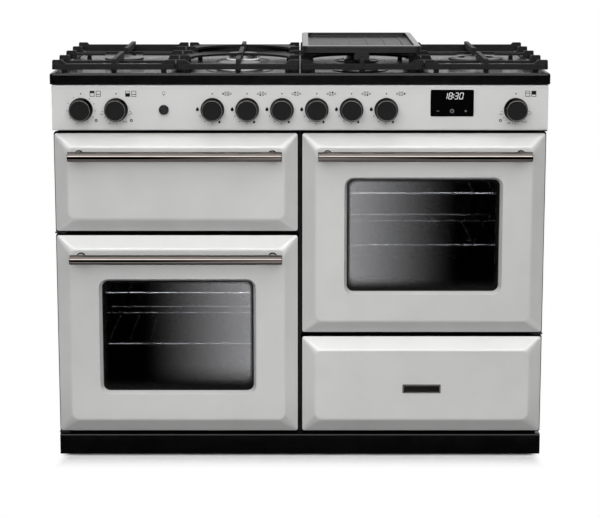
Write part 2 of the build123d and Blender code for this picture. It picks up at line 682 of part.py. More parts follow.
DRAWER_WIDTH = 470.0
DRAWER_DEPTH = 430.0
DRAWER_SIDES = 130.0
DRAWER_FLOOR = DRAWER_Z[0] + 34.0
DRAWER_X = about(middle(RIGHT_X), DRAWER_WIDTH)
RAIL_HEIGHT = 26.0
RAIL_LEVEL = DRAWER_FLOOR + 30.0
SLIDE = 5.0                   # thickness of each half of a slide

drawer_front = pressed_skin(RIGHT_X, DRAWER_Z)
drawer_back = slab(inset(RIGHT_X, 0.5), (SKIN_BACK, SKIN_BACK + SHEET), inset(DRAWER_Z, 0.5), EDGE_RADIUS)
keep("drawer_front", drawer_front + drawer_back)

box_y = (SKIN_BACK + SHEET, SKIN_BACK + SHEET + DRAWER_DEPTH)
drawer_box = block(DRAWER_X, box_y, (DRAWER_FLOOR, DRAWER_FLOOR + DRAWER_SIDES))
drawer_box = fillet(drawer_box.edges().filter_by(Axis.Z).group_by(Axis.Y)[-1], 8.0)
drawer_box = drawer_box - block(
    inset(DRAWER_X, SHEET), inset(box_y, SHEET), (DRAWER_FLOOR + SHEET, DRAWER_FLOOR + DRAWER_SIDES + 1)
)
for edge in DRAWER_X:
    lip = rod_y(edge + math.copysign(SHEET / 2, middle(DRAWER_X) - edge), inset(box_y, 10.0),
                DRAWER_FLOOR + DRAWER_SIDES, 3.0)
    drawer_box = drawer_box + lip
keep("drawer_box", drawer_box)

slides, rails = [], []
for edge, outward in ((DRAWER_X[0], -1), (DRAWER_X[1], 1)):
    near = sorted((edge, edge + outward * SLIDE))
    far = sorted((edge + outward * (SLIDE + SEAT_GAP), edge + outward * (2 * SLIDE + SEAT_GAP)))
    slides.append(block(near, (box_y[0] + 14.0, box_y[1] - 10.0), about(RAIL_LEVEL, RAIL_HEIGHT - 12.0)))
    rail = block(far, (FRAME_BACK, box_y[1] - 20.0), about(RAIL_LEVEL, RAIL_HEIGHT))
    for lip_z in (RAIL_LEVEL - RAIL_HEIGHT / 2, RAIL_LEVEL + RAIL_HEIGHT / 2 - 3.0):
        lip_x = sorted((edge + outward * SEAT_GAP * 3, edge + outward * (2 * SLIDE + SEAT_GAP)))
        rail = rail + block(lip_x, (FRAME_BACK, box_y[1] - 20.0), (lip_z, lip_z + 3.0))
    for leg_y in (FRAME_BACK + 16.0, box_y[1] - 44.0):
        rail = rail + block(far, (leg_y, leg_y + 24.0), (BASE_LEVEL + SHEET, RAIL_LEVEL))
    rails.append(rail)
keep("drawer_slides", as_group(slides))
keep("drawer_rails", as_group(rails))

badge = slab(about(middle(RIGHT_X), 86.0), (FRONT - 2.0, FRONT), about(middle(DRAWER_Z) - 8.0, 20.0), 1.5)
badge = chamfer(badge.faces().sort_by(Axis.Y)[0].edges(), 1.0)
keep("drawer_badge", badge)


# Cabinet: front frame, side panels, back, base, plinth and feet

def mouth(x, z, height):
    cx, cz = cavity_limits(x, z, height)
    return slab(cx, (FRAME_FRONT - 1, FRAME_BACK + 1), cz, 12)


frame = block((-CABINET_HALF, CABINET_HALF), (FRAME_FRONT, FRAME_BACK), (BASE_LEVEL, FASCIA_BASE + 26.0))
for x, z in ((LEFT_X, TALL_LEFT_Z), (RIGHT_X, TALL_RIGHT_Z)):
    frame = frame - mouth(x, z, OVEN_HEIGHT)
frame = frame - mouth(LEFT_X, GRILL_Z, GRILL_HEIGHT)
drawer_mouth_x = inset(DRAWER_X, -SLIDE - SEAT_GAP / 2)
drawer_mouth_z = (DRAWER_FLOOR - 8.0, DRAWER_FLOOR + DRAWER_SIDES + 12.0)
frame = frame - slab(drawer_mouth_x, (FRAME_FRONT - 1, FRAME_BACK + 1), drawer_mouth_z, 5.0)
keep("front_frame", frame)


def side_panel():
    """One bent sheet with a turned flange at the front and at the back."""
    z = (SIDE_BASE, DECK_UNDER)
    web = block((CABINET_HALF - SHEET, CABINET_HALF), (FRAME_BACK, BACK - SHEET), z)
    front = block((CABINET_HALF - 16.0, CABINET_HALF), (FRAME_BACK, FRAME_BACK + SHEET), z)
    rear = block((CABINET_HALF - 24.0, CABINET_HALF), (BACK - 2 * SHEET, BACK - SHEET), z)
    return web + front + rear


keep("side_panels", as_group([side_panel(), flipped(side_panel())]))

GAS_INLET_X = HALF - 60.0
GAS_INLET_Z = KNOB_Z - 8.0
back_panel = block((-CABINET_HALF, CABINET_HALF), (BACK - SHEET, BACK), (BASE_LEVEL, SKIRT_BASE - 6.0))
vents = []
for row in range(4):
    for column in range(14):
        vent_x = (column - 6.5) * 54.0
        vent_z = LEFT_TOP + 120.0 + row * 22.0
        vents.append(slab(about(vent_x, 38.0), (BACK - SHEET - 1, BACK + 1), about(vent_z, 7.0), 3.0))
back_panel = back_panel - vents
back_panel = back_panel - rod_y(GAS_INLET_X, (BACK - SHEET - 1, BACK + 1), GAS_INLET_Z, 26.0)
keep("back_panel", back_panel)

base = block((-CABINET_HALF + SHEET, CABINET_HALF - SHEET), (FRAME_BACK + SHEET, BACK - 2 * SHEET),
             (BASE_LEVEL, BASE_LEVEL + SHEET))
for y in ((FRAME_BACK + SHEET, FRAME_BACK + 2 * SHEET), (BACK - 3 * SHEET, BACK - 2 * SHEET)):
    base = base + block((-CABINET_HALF + 26.0, CABINET_HALF - 26.0), y, (BASE_LEVEL, BASE_LEVEL + 18.0))
for side in (-1, 1):
    for y in (FRAME_BACK + 120.0, middle((FRAME_BACK, BACK)), BACK - 120.0):
        vent_z = (BASE_LEVEL - 1, BASE_LEVEL + SHEET + 1)
        base = base - block(about(side * 260.0, 300.0), about(y, 16.0), vent_z)
keep("base_pan", base)

plinth_front = FRONT + PLINTH_SETBACK
plinth = block((-HALF, HALF), (plinth_front, FRAME_FRONT), (PLINTH_BASE, PLINTH_TOP))
plinth = fillet(plinth.edges().filter_by(Axis.X).group_by(Axis.Y)[0].sort_by(Axis.Z)[-1], 3.0)
plinth = plinth - block((-HALF + SHEET, HALF - SHEET), (plinth_front + SHEET, FRAME_FRONT + 1),
                        (PLINTH_BASE - 1, PLINTH_TOP - SHEET))
keep("plinth", plinth)


def foot(x, y):
    """A levelling foot: a broad pad on a threaded stud with a lock nut under the base."""
    pad = rod_z(x, y, (0.0, 9.0), 22.0)
    pad = chamfer(pad.edges().group_by(Axis.Z)[-1], 3.0)
    stud = rod_z(x, y, (9.0, BASE_LEVEL), 5.0)
    nut = Pos(x, y, BASE_LEVEL - 8.0) * extrude(RegularPolygon(9.8, 6), amount=8.0)
    return pad + stud + nut


FOOT_X = CABINET_HALF - 60.0
feet = [foot(x, y) for x in (-FOOT_X, FOOT_X) for y in (FRAME_BACK + 60.0, BACK - 60.0)]
keep("levelling_feet", as_group(feet))


# Fascia: a folded panel with the knob, button and display cut-outs

GAS_KNOBS = [GAS_CENTRE + (index - 2.5) * GAS_PITCH for index in range(6)]
KNOBS = (
    [("grill_knob", LEFT_KNOBS[0]), ("left_oven_knob", LEFT_KNOBS[1])]
    + [(f"gas_knob_{index + 1}", x) for index, x in enumerate(GAS_KNOBS)]
    + [("right_oven_knob", RIGHT_KNOB)]
)
DISPLAY_Z = FASCIA_BASE + DISPLAY_RISE
FASCIA_REAR = FASCIA_FRONT + SHEET

fascia = block((-HALF, HALF), (FASCIA_FRONT, FRAME_FRONT), (FASCIA_BASE, FASCIA_TOP))
fascia = fillet(fascia.edges().filter_by(Axis.X).group_by(Axis.Y)[0], 2.5)
fascia = fascia - block((-HALF + SHEET, HALF - SHEET), (FASCIA_REAR, FRAME_FRONT + 1),
                        (FASCIA_BASE + SHEET, FASCIA_TOP - SHEET))
for name, x in KNOBS:
    fascia = fascia - rod_y(x, (FASCIA_FRONT - 1, FASCIA_REAR + 1), KNOB_Z, SPINDLE_RADIUS + 2.0)
fascia = fascia - rod_y(BUTTON_X, (FASCIA_FRONT - 1, FASCIA_REAR + 1), KNOB_Z, BUTTON_DIAMETER / 2 - 2.0)
DISPLAY_LIP = 2.0             # bezel past the cut-out
cut_x = about(DISPLAY_X, DISPLAY_SIZE[0] - 2 * DISPLAY_LIP)
cut_z = about(DISPLAY_Z, DISPLAY_SIZE[1] - 2 * DISPLAY_LIP)
fascia = fascia - slab(cut_x, (FASCIA_FRONT - 1, FASCIA_REAR + 1), cut_z, 2.0)
keep("control_fascia", fascia)

display = slab(about(DISPLAY_X, DISPLAY_SIZE[0]), (FASCIA_FRONT - 1.5, FASCIA_FRONT),
               about(DISPLAY_Z, DISPLAY_SIZE[1]), 3.0)
clock_body = slab(inset(cut_x, 0.5), (FASCIA_FRONT, FASCIA_FRONT + 22.0), inset(cut_z, 0.5), 1.5)
display = display + clock_body
keep("clock_display", display)


def knob(x):
    """A turned knob: flared skirt, dished rim and a flat face with a pointer groove, on its spindle."""
    face = FASCIA_FRONT - KNOB_PROJECTION
    skirt = FASCIA_FRONT - 1.0
    outer = KNOB_DIAMETER / 2
    inner = KNOB_FACE / 2
    profile = Polyline(
        (0, face + 1.0), (inner - 1.5, face + 1.0), (inner - 0.5, face), (inner + 0.7, face),
        (inner + 2.0, face + 1.5), (outer - 1.0, skirt - 7.0), (outer, skirt - 5.0),
        (outer, skirt - 0.8), (outer - 0.8, skirt), (0, skirt), close=True,
    )
    body = revolve(make_face(profile), axis=Axis.Y, revolution_arc=360)
    groove = block((-0.9, 0.9), (face - 1, face + 1.6), (inner - 11.0, inner - 3.0))
    spindle = rod_y(0, (skirt - 1, FASCIA_REAR + 24.0), 0, SPINDLE_RADIUS)
    return Pos(x, 0, KNOB_Z) * (body - groove + spindle)


for name, x in KNOBS:
    keep(name, knob(x))

button_y = (FASCIA_FRONT - 6.0, FASCIA_FRONT - BUTTON_TRAVEL - 0.5)
button = rod_y(BUTTON_X, button_y, KNOB_Z, BUTTON_DIAMETER / 2)
button = fillet(button.edges().group_by(Axis.Y)[0], 1.2)
button = button + rod_y(BUTTON_X, (FASCIA_FRONT - 4.0, FASCIA_REAR + 12.0), KNOB_Z, BUTTON_DIAMETER / 2 - 3.0)
keep("light_button", button)


def control_body(x, size, length):
    """The switch or thermostat that a spindle turns, bored for it and set on a collar behind the fascia."""
    collar = rod_y(x, (FASCIA_REAR, FASCIA_REAR + 6.0), KNOB_Z, 11.0)
    body = block(about(x, size), (FASCIA_REAR + 6.0, FASCIA_REAR + 6.0 + length), about(KNOB_Z, size))
    bore = rod_y(x, (FASCIA_REAR - 1, FASCIA_REAR + 25.0), KNOB_Z, SPINDLE_RADIUS + RUNNING_GAP)
    return collar + body - bore


controls = [control_body(x, 42.0, 34.0) for x in (*LEFT_KNOBS, RIGHT_KNOB)]
switch = rod_y(BUTTON_X, (FASCIA_REAR, FASCIA_REAR + 30.0), KNOB_Z, BUTTON_DIAMETER / 2 + 2.0)
plunger_bore = rod_y(BUTTON_X, (FASCIA_REAR - 1, FASCIA_REAR + 16.0), KNOB_Z, BUTTON_DIAMETER / 2 - 2.5)
controls.append(switch - plunger_bore)
keep("oven_controls", as_group(controls))

# Gas: taps on a square rail, with a pipe along the right side to a threaded inlet at the back
RAIL_Y = FASCIA_REAR + 52.0
RAIL_HALF = 8.0


def gas_tap(x):
    collar = rod_y(x, (FASCIA_REAR, FASCIA_REAR + 8.0), KNOB_Z, 10.0)
    body = rod_y(x, (FASCIA_REAR + 8.0, RAIL_Y - RAIL_HALF), KNOB_Z, 13.0)
    outlet = rod_z(x, RAIL_Y - RAIL_HALF - 14.0, (KNOB_Z, KNOB_Z + 24.0), 5.0)
    bore = rod_y(x, (FASCIA_REAR - 1, FASCIA_REAR + 25.0), KNOB_Z, SPINDLE_RADIUS + RUNNING_GAP)
    return collar + body + outlet - bore


gas_rail = block((GAS_KNOBS[0] - 34.0, GAS_INLET_X + RAIL_HALF), about(RAIL_Y, 2 * RAIL_HALF),
                 about(GAS_INLET_Z, 2 * RAIL_HALF))
pipe = rod_y(GAS_INLET_X, (RAIL_Y, BACK - 22.0), GAS_INLET_Z, 7.0)
inlet = rod_y(GAS_INLET_X, (BACK - 22.0, BACK), GAS_INLET_Z, 10.5)
hexagon = Plane(origin=(GAS_INLET_X, BACK - 34.0, GAS_INLET_Z), z_dir=(0, 1, 0)) * RegularPolygon(15.0, 6)
inlet = inlet + extrude(hexagon, amount=12.0)
manifold = gas_rail + pipe + inlet - rod_y(GAS_INLET_X, (BACK - 20.0, BACK + 1), GAS_INLET_Z, 6.5)
keep("gas_manifold", as_group([manifold] + [gas_tap(x) for x in GAS_KNOBS]))

terminal = block(about(-HALF + 150.0, 110.0), (BACK - 46.0, BACK - SHEET), about(LEFT_TOP + 60.0, 80.0))
terminal = fillet(terminal.edges().filter_by(Axis.Y), 6.0)
terminal = terminal + rod_z(-HALF + 150.0, BACK - 24.0, (LEFT_TOP, LEFT_TOP + 24.0), 13.0)
keep("terminal_box", terminal)


# Hob: tray with a raised rim, burners, pan supports and griddle

OUTER_X = 1.5 * (GRATE_WIDTH + GRATE_GAP)
INNER_X = 0.5 * (GRATE_WIDTH + GRATE_GAP)
BURNERS = (
    # place, crown radius
    (-OUTER_X, GRATE_MIDDLE, 44.0),
    (-INNER_X, GRATE_MIDDLE - ROW_PITCH, 46.0),
    (-INNER_X, GRATE_MIDDLE + ROW_PITCH, 34.0),
    (INNER_X, GRATE_MIDDLE - ROW_PITCH, 34.0),
    (INNER_X, GRATE_MIDDLE + ROW_PITCH, 25.0),
    (OUTER_X, GRATE_MIDDLE, 62.0),
)
WOK_RADIUS = 60.0             # burners wider than this get a second, inner ring

tray_x = (-HOB_WIDTH / 2, HOB_WIDTH / 2)
tray_y = (HOB_FRONT, BACK)
tray = block(tray_x, tray_y, (SKIRT_BASE, RIM_TOP))
tray = fillet(tray.edges().filter_by(Axis.Z), 9.0)
tray = fillet(tray.faces().sort_by(Axis.Z)[-1].edges(), 5.0)
well = block(inset(tray_x, RIM_WIDTH), inset(tray_y, RIM_WIDTH), (DECK, RIM_TOP + 1))
well = fillet(well.edges().filter_by(Axis.Z), 16.0)
well = fillet(well.faces().sort_by(Axis.Z)[0].edges(), 4.0)
under = block(inset(tray_x, SHEET), inset(tray_y, SHEET), (SKIRT_BASE - 1, DECK_UNDER))
under = fillet(under.edges().filter_by(Axis.Z), 7.0)
tray = tray - well - under
for x, y, radius in BURNERS:
    bead = Pos(x, y, DECK - 0.5) * (Cylinder(radius + 30.0, 4.0) - Cylinder(radius + 24.0, 4.0))
    tray = tray + chamfer(bead.edges().group_by(Axis.Z)[-1], 1.2)
for x, y, radius in BURNERS:
    tray = tray - rod_z(x, y, (DECK_UNDER - 5.0, DECK + 5.0), radius - 6.0)
keep("hob_tray", tray)


def burner_cup(x, y, radius):
    """The die cast body: a flange on the deck and a mixing chamber hung through it."""
    flange = rod_z(x, y, (DECK, DECK + 6.0), radius + 7.0)
    flange = chamfer(flange.edges().group_by(Axis.Z)[-1], 2.5)
    chamber = rod_z(x, y, (DECK - 34.0, DECK), radius - 8.0)
    electrode = rod_z(x + radius + 4.0, y, (DECK + 6.0, DECK + 13.0), 1.8)
    return flange + chamber + electrode


def ported_ring(outer, inner, ports):
    """A crown ring cut round its upper edge with radial flame ports."""
    ring = Pos(0, 0, DECK + 10.0) * (Cylinder(outer, 8.0) - Cylinder(inner, 9.0))
    slots = []
    for index in range(ports):
        slot = block((outer - 7.0, outer + 2.0), (-0.9, 0.9), (DECK + 9.5, DECK + 14.5))
        slots.append(Rot(0, 0, index * 360.0 / ports) * slot)
    return ring - slots


def burner_crown(x, y, radius):
    crown = ported_ring(radius, 0.45 * radius, int(radius * 0.62))
    if radius > WOK_RADIUS:
        crown = ported_ring(radius, radius - 17.0, 40) + ported_ring(0.42 * radius, 6.0, 16)
        for angle in (0, 120, 240):
            arm = block((0.35 * radius, radius - 14.0), (-4.0, 4.0), (DECK + 6.0, DECK + 9.0))
            crown = crown + Rot(0, 0, angle) * arm
    return Pos(x, y, 0) * crown


def cap_ring(outer, inner):
    """A cap turned from one profile: flat underside, rounded edge, gently domed top."""
    base = DECK + 14.0
    rise = DECK + CAP_TOP
    crest = rise if inner == 0 else rise - 0.8
    outline = Polyline(
        (inner, base), (outer, base), (outer, rise - 2.6), (outer - 1.6, rise - 1.2),
        (0.6 * outer + 0.4 * inner, rise - 0.2), (inner, crest), close=True,
    )
    return revolve(Plane.XZ * make_face(outline), axis=Axis.Z, revolution_arc=360)


def burner_cap(x, y, radius):
    if radius > WOK_RADIUS:
        caps = cap_ring(radius + 2.0, radius - 19.0).solids() + cap_ring(0.42 * radius + 2.0, 0).solids()
    else:
        caps = cap_ring(radius + 2.0, 0).solids()
    return [Pos(x, y, 0) * cap for cap in caps]


keep("burner_cups", as_group([burner_cup(*burner) for burner in BURNERS]))
keep("burner_crowns", as_group([burner_crown(*burner) for burner in BURNERS]))
keep("burner_caps", as_group([cap for burner in BURNERS for cap in burner_cap(*burner)]))


def row_blocks(y, low, ramp):
    """The raised blocks at both ends of a row, each sloping inwards to the level of the row's bar."""
    base, high = DECK + RAIL_BASE + 2.0, DECK + BLOCK_TOP
    start = GRATE_HALF - BLOCK_LENGTH
    outline = make_face(Polyline(
        (GRATE_HALF, base), (GRATE_HALF - 0.8, high), (start, high), (start - ramp, DECK + low),
        (start - ramp, base), close=True,
    ))
    outline = fillet([corner for corner in outline.vertices() if corner.Y > high - 0.5], 1.8)
    plane = Plane(origin=(0, y + BAR_WIDTH / 2, 0), x_dir=(1, 0, 0), z_dir=(0, -1, 0))
    right = extrude(plane * outline, amount=BAR_WIDTH)
    return right + flipped(right)


def cross_bar(y, level):
    """A bar from side to side, its upper edges eased."""
    span = inset((-GRATE_HALF, GRATE_HALF), 4.0)
    bar = block(span, about(y, BAR_WIDTH), (DECK + level[0], DECK + level[1]))
    return chamfer(bar.edges().filter_by(Axis.X).group_by(Axis.Z)[-1], 1.2)


def depth_rib(burners, tip):
    """The middle rib from front rail to back rail, broken over each burner."""
    front, rear = GRATE_Y
    base, high = DECK + RAIL_BASE, DECK + RIB_TOP
    outline = Polyline(
        (front, base), (front, high - 3), (front + 3, high), (rear - 3, high), (rear, high - 3), (rear, base),
        (rear - 16, base), (rear - 24, DECK + RIB_BASE), (front + 24, DECK + RIB_BASE), (front + 16, base),
        close=True,
    )
    rib = extrude(Plane.YZ * make_face(outline), amount=BAR_WIDTH / 2, both=True)
    for burner_y in burners:
        rib = rib - rod_z(0, burner_y, (DECK, DECK + RIB_TOP + 1), tip)
    return rib


def ring_gusset(burner_y):
    """The web that rounds off the back of the opening over one burner of a double support."""
    span = inset((-GRATE_HALF, GRATE_HALF), RAIL_WIDTH - 1.0)
    height = (DECK + HIGH_BAR[0], DECK + HIGH_BAR[1] - 1.0)
    web = block(span, (burner_y, burner_y + ROW_PITCH), height)
    return web - rod_z(0, burner_y, (DECK, DECK + RIB_TOP), RING_OPENING)


def pan_support(centre, burners, tip):
    """A cast frame on six feet: rails all round, rows of bars between raised blocks, and a rib over them."""
    outer = block((-GRATE_HALF, GRATE_HALF), GRATE_Y, (DECK + RAIL_BASE, DECK + RAIL_TOP))
    outer = fillet(outer.edges().filter_by(Axis.Z), 6.0)
    outer = chamfer(outer.faces().sort_by(Axis.Z)[-1].edges(), 1.2)
    inner_x = (-GRATE_HALF + RAIL_WIDTH, GRATE_HALF - RAIL_WIDTH)
    support = outer - block(inner_x, inset(GRATE_Y, RAIL_WIDTH), (DECK, DECK + RIB_TOP))
    double = len(burners) > 1
    support = support + row_blocks(GRATE_MIDDLE - 2 * ROW_PITCH, RAIL_TOP - 1.0, FRONT_RAMP)
    for row in (-1, 0, 1, 2):
        bar_y = GRATE_MIDDLE + row * ROW_PITCH
        level = HIGH_BAR if double or row in (0, 2) else LOW_BAR
        bar = cross_bar(bar_y, level)
        if bar_y in burners:
            bar = bar - rod_z(0, bar_y, (DECK, DECK + RIB_TOP), RING_OPENING if double else tip)
        support = support + row_blocks(bar_y, level[1], BAR_RAMP) + bar
    if double:
        for burner_y in burners:
            support = support + ring_gusset(burner_y)
    support = support + depth_rib(burners, tip)
    for foot_y in inset(GRATE_Y, 8.0):
        for foot_x in (-GRATE_HALF + 26.0, 0.0, GRATE_HALF - 26.0):
            support = support + Pos(foot_x, foot_y, DECK + RAIL_BASE / 2) * Cone(5.0, 6.5, RAIL_BASE)
    return Pos(centre, 0, 0) * support


FRONT_AND_BACK = (GRATE_MIDDLE - ROW_PITCH, GRATE_MIDDLE + ROW_PITCH)
for name, centre, burners, tip in (
    ("left_pan_support", -OUTER_X, (GRATE_MIDDLE,), 44.0),
    ("centre_left_pan_support", -INNER_X, FRONT_AND_BACK, 36.0),
    ("centre_right_pan_support", INNER_X, FRONT_AND_BACK, 36.0),
    ("right_pan_support", OUTER_X, (GRATE_MIDDLE,), 44.0),
):
    keep(name, pan_support(centre, burners, tip))


def griddle():
    """A cast plate with a raised wall, low ridges on its floor and feet shaped to the pan support."""
    base = DECK + BLOCK_TOP + GRIDDLE_LIFT
    top = base + GRIDDLE_WALL
    x = about(INNER_X, GRIDDLE_SIZE[0])
    y = about(GRATE_MIDDLE - 18.0, GRIDDLE_SIZE[1])
    body = block(x, y, (base, top))
    body = fillet(body.edges().filter_by(Axis.Z), 14.0)
    body = fillet(body.faces().sort_by(Axis.Z)[-1].edges(), 3.0)
    well = block(inset(x, 14.0), inset(y, 14.0), (base + 5.0, top + 1))
    well = fillet(well.edges().filter_by(Axis.Z), 10.0)
    well = fillet(well.faces().sort_by(Axis.Z)[0].edges(), 4.0)
    plate = body - well
    for index in range(GRIDDLE_RIDGES):
        ridge_x = INNER_X + (index - (GRIDDLE_RIDGES - 1) / 2) * RIDGE_PITCH
        plate = plate + block(about(ridge_x, 3.0), inset(y, 10.0), (base + 4.0, base + 6.5))
    for foot_y in (GRATE_MIDDLE - 2 * ROW_PITCH + 26.0, GRATE_MIDDLE):
        rest = block(about(INNER_X, 32.0), about(foot_y, 14.0), (DECK + RIB_TOP - 4.0, base))
        slot = block(about(INNER_X, BAR_WIDTH + 2 * SEAT_GAP), about(foot_y, 15.0), (DECK, DECK + RIB_TOP))
        plate = plate + (rest - slot)
    for side in (-1, 1):
        for row in (-1, 1):
            pad_x = INNER_X + side * (GRATE_HALF - BLOCK_LENGTH / 2)
            pad_y = GRATE_MIDDLE + row * ROW_PITCH
            plate = plate + Pos(pad_x, pad_y, base - GRIDDLE_LIFT / 2) * Cylinder(5.0, GRIDDLE_LIFT)
    return plate


keep("griddle", griddle())
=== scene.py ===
# %% [markdown]
# A 110 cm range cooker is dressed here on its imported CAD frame. The CAD holds every solid piece in its
# place, so this file adds what a solid can't carry: the finishes, the print on the fascia, the lit clock,
# the studio and the camera. Blender works in metres, and MM turns the millimetres of a drawing into them.

# %% Load the frame
import bmesh
import bpy
import math
import numpy as np
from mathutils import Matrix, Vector


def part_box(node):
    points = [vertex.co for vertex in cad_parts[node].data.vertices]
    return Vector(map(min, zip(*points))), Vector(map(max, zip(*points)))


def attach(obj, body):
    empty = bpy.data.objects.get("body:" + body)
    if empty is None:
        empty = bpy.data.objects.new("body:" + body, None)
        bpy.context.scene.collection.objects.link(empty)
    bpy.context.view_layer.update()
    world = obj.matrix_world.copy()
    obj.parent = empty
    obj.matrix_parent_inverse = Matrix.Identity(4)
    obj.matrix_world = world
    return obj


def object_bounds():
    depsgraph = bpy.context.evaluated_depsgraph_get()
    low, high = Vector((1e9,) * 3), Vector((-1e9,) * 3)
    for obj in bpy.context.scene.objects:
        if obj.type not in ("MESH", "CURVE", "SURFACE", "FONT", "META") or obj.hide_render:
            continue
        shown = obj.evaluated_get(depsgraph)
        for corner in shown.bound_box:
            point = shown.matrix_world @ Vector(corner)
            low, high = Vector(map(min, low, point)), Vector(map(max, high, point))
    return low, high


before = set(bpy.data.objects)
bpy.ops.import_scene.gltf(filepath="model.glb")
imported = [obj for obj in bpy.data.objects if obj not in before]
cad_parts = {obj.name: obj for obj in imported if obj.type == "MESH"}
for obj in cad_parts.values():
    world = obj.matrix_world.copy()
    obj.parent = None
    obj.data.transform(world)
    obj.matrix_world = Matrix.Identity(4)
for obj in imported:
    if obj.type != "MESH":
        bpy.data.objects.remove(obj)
MM = 0.001
cad_box = [list(corner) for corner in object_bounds()]

# %% [markdown]
# Colours are easier to read as the hex values that a paint card shows. Blender's shaders work in linear
# light, so one function turns hex into linear numbers and every colour goes through it. A second function
# adds one shader node: it fills the inputs in the node's own order or by name, with a value or with another
# node, and may pass the result on. That keeps each finish below down to a few lines.

# %% Colour and node helpers
def linear(code):
    """sRGB hex to linear RGB: the standard curve, a straight toe and then a 2.4 power."""
    value = np.array([int(code[i:i + 2], 16) for i in (1, 3, 5)]) / 255.0
    curve = np.where(value <= 0.04045, value / 12.92, ((value + 0.055) / 1.055) ** 2.4)
    return (*[float(c) for c in curve], 1.0)


def add_node(tree, kind, inputs=(), to=None, stops=(), **settings):
    """Adds one node: `to` is the socket that takes its result, `stops` a ramp's places and colours."""
    node = tree.nodes.new("ShaderNode" + kind)
    for name, value in settings.items():
        setattr(node, name, value)
    for name, value in inputs.items() if isinstance(inputs, dict) else enumerate(inputs):
        source = value.outputs[0] if isinstance(value, bpy.types.Node) else value
        if isinstance(source, bpy.types.NodeSocket):
            tree.links.new(source, node.inputs[name])
        else:
            node.inputs[name].default_value = source
    for index, (position, code) in enumerate(stops):
        elements = node.color_ramp.elements
        element = elements[index] if index < len(elements) else elements.new(position)
        element.position = position
        element.color = linear(code)
    if to is not None:
        tree.links.new(node.outputs[0], to)
    return node


print("mid grey in linear light:", round(linear("#808080")[0], 3))

# %% [markdown]
# Every finish starts from the same empty material, whose patterns are measured in metres on the piece itself
# through its Object coordinates. Blender's noise lies mostly between 0.3 and 0.7, so those two values are the
# ends of each mottle. The CAD pieces then take their finish by name.

# %% Start a finish and put it on
NOISE_LOW, NOISE_HIGH = 0.3, 0.7
dressed = set()


def new_material(name):
    """A node material: itself, its tree, its Principled shader and the piece's own coordinates."""
    material = bpy.data.materials.new(name)
    material.use_nodes = True
    tree = material.node_tree
    return material, tree, tree.nodes["Principled BSDF"], add_node(tree, "TexCoord").outputs["Object"]


def dress(material, *names):
    """Gives one finish to the named CAD nodes."""
    for name in names:
        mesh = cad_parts[name].data
        mesh.materials.clear()
        mesh.materials.append(material)
    dressed.update(names)
    print(material.name, "on", len(names), "nodes")


print("noise is used from", NOISE_LOW, "to", NOISE_HIGH)

# %% [markdown]
# The door fronts, the drawer and the fascia wear a light grey satin paint. Sprayed paint is never quite even:
# there is a faint mottle in its tone, and an orange peel a few millimetres across softens the highlights on
# the bevels. A clear coat on the shader gives the sheen. The returned edges between two fronts are painted
# near-black and matt as painted shade, so the gaps read as black lines. A mask makes that shade: its value
# is 1 well behind the door's face, except on the outer sides of the cooker, and it takes the gloss away too.

# %% Light grey satin paint
GAP_SHADE_DEPTH = 15.8 * MM                # the grey ends this far behind the door's face
OUTER_SKIN = 0.8 * MM                   # the outer sides of the cooker stay grey all over
MOTTLE, SHEEN_PATCH, ORANGE_PEEL = 90 * MM, 30 * MM, 3.5 * MM
skin_low, skin_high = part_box("right_door_skin")


def grey_satin_paint():
    material, tree, shader, place = new_material("light_grey_satin_paint")
    part = add_node(tree, "SeparateXYZ", [place])
    # Painted shade: the mask is 1 on the returned edges between fronts, which stand in the shade of the gaps.
    behind = add_node(tree, "Math", [part.outputs["Y"], skin_low.y + GAP_SHADE_DEPTH], operation="GREATER_THAN")
    aside = add_node(tree, "Math", [part.outputs["X"]], operation="ABSOLUTE")
    inside = add_node(tree, "Math", [aside, skin_high.x - OUTER_SKIN], operation="LESS_THAN")
    gap_shade = add_node(tree, "Math", [behind, inside], operation="MULTIPLY")
    mottle = add_node(tree, "TexNoise", {"Vector": place, "Scale": 1 / MOTTLE, "Detail": 2.0})
    grey = add_node(tree, "ValToRGB", [mottle], stops=[(NOISE_LOW, "#C6C6C5"), (NOISE_HIGH, "#CBCBCA")])
    # The painted gap shade is near-black.
    colour = add_node(tree, "Mix", {"Factor": gap_shade, "A": grey, "B": linear("#040404")}, data_type="RGBA")
    tree.links.new(colour.outputs["Result"], shader.inputs["Base Color"])
    patch = add_node(tree, "TexNoise", {"Vector": place, "Scale": 1 / SHEEN_PATCH, "Detail": 3.0})
    satin = add_node(tree, "MapRange", [patch, NOISE_LOW, NOISE_HIGH, 0.36, 0.44])
    # The painted gap shade is matt as well, so no reflection shows in the gaps.
    add_node(tree, "Math", [satin, gap_shade], shader.inputs["Roughness"], operation="MAXIMUM")
    add_node(tree, "MapRange", [gap_shade, 0.0, 1.0, 0.8, 0.0], shader.inputs["Coat Weight"])
    add_node(tree, "MapRange", [gap_shade, 0.0, 1.0, 0.5, 0.0], shader.inputs["Specular IOR Level"])
    shader.inputs["Coat Roughness"].default_value = 0.32
    peel = add_node(tree, "TexNoise", {"Vector": place, "Scale": 1 / ORANGE_PEEL, "Detail": 2.0})
    add_node(tree, "Bump", {"Height": peel, "Distance": 0.06 * MM}, shader.inputs["Normal"])
    return material


dress(grey_satin_paint(), "left_door_skin", "right_door_skin", "grill_door_skin", "drawer_front",
      "control_fascia")

# %% [markdown]
# Many plain finishes differ only in their numbers. Fired enamel flows out, so the hob tray looks wet, with
# broad, faint changes of gloss. Powder paint keeps a fine grain, so the sides look dry, and moulded plastic
# copies the texture of its mould. One function makes them from three noises, one each for the colour, the
# gloss and the relief, with sizes in millimetres.

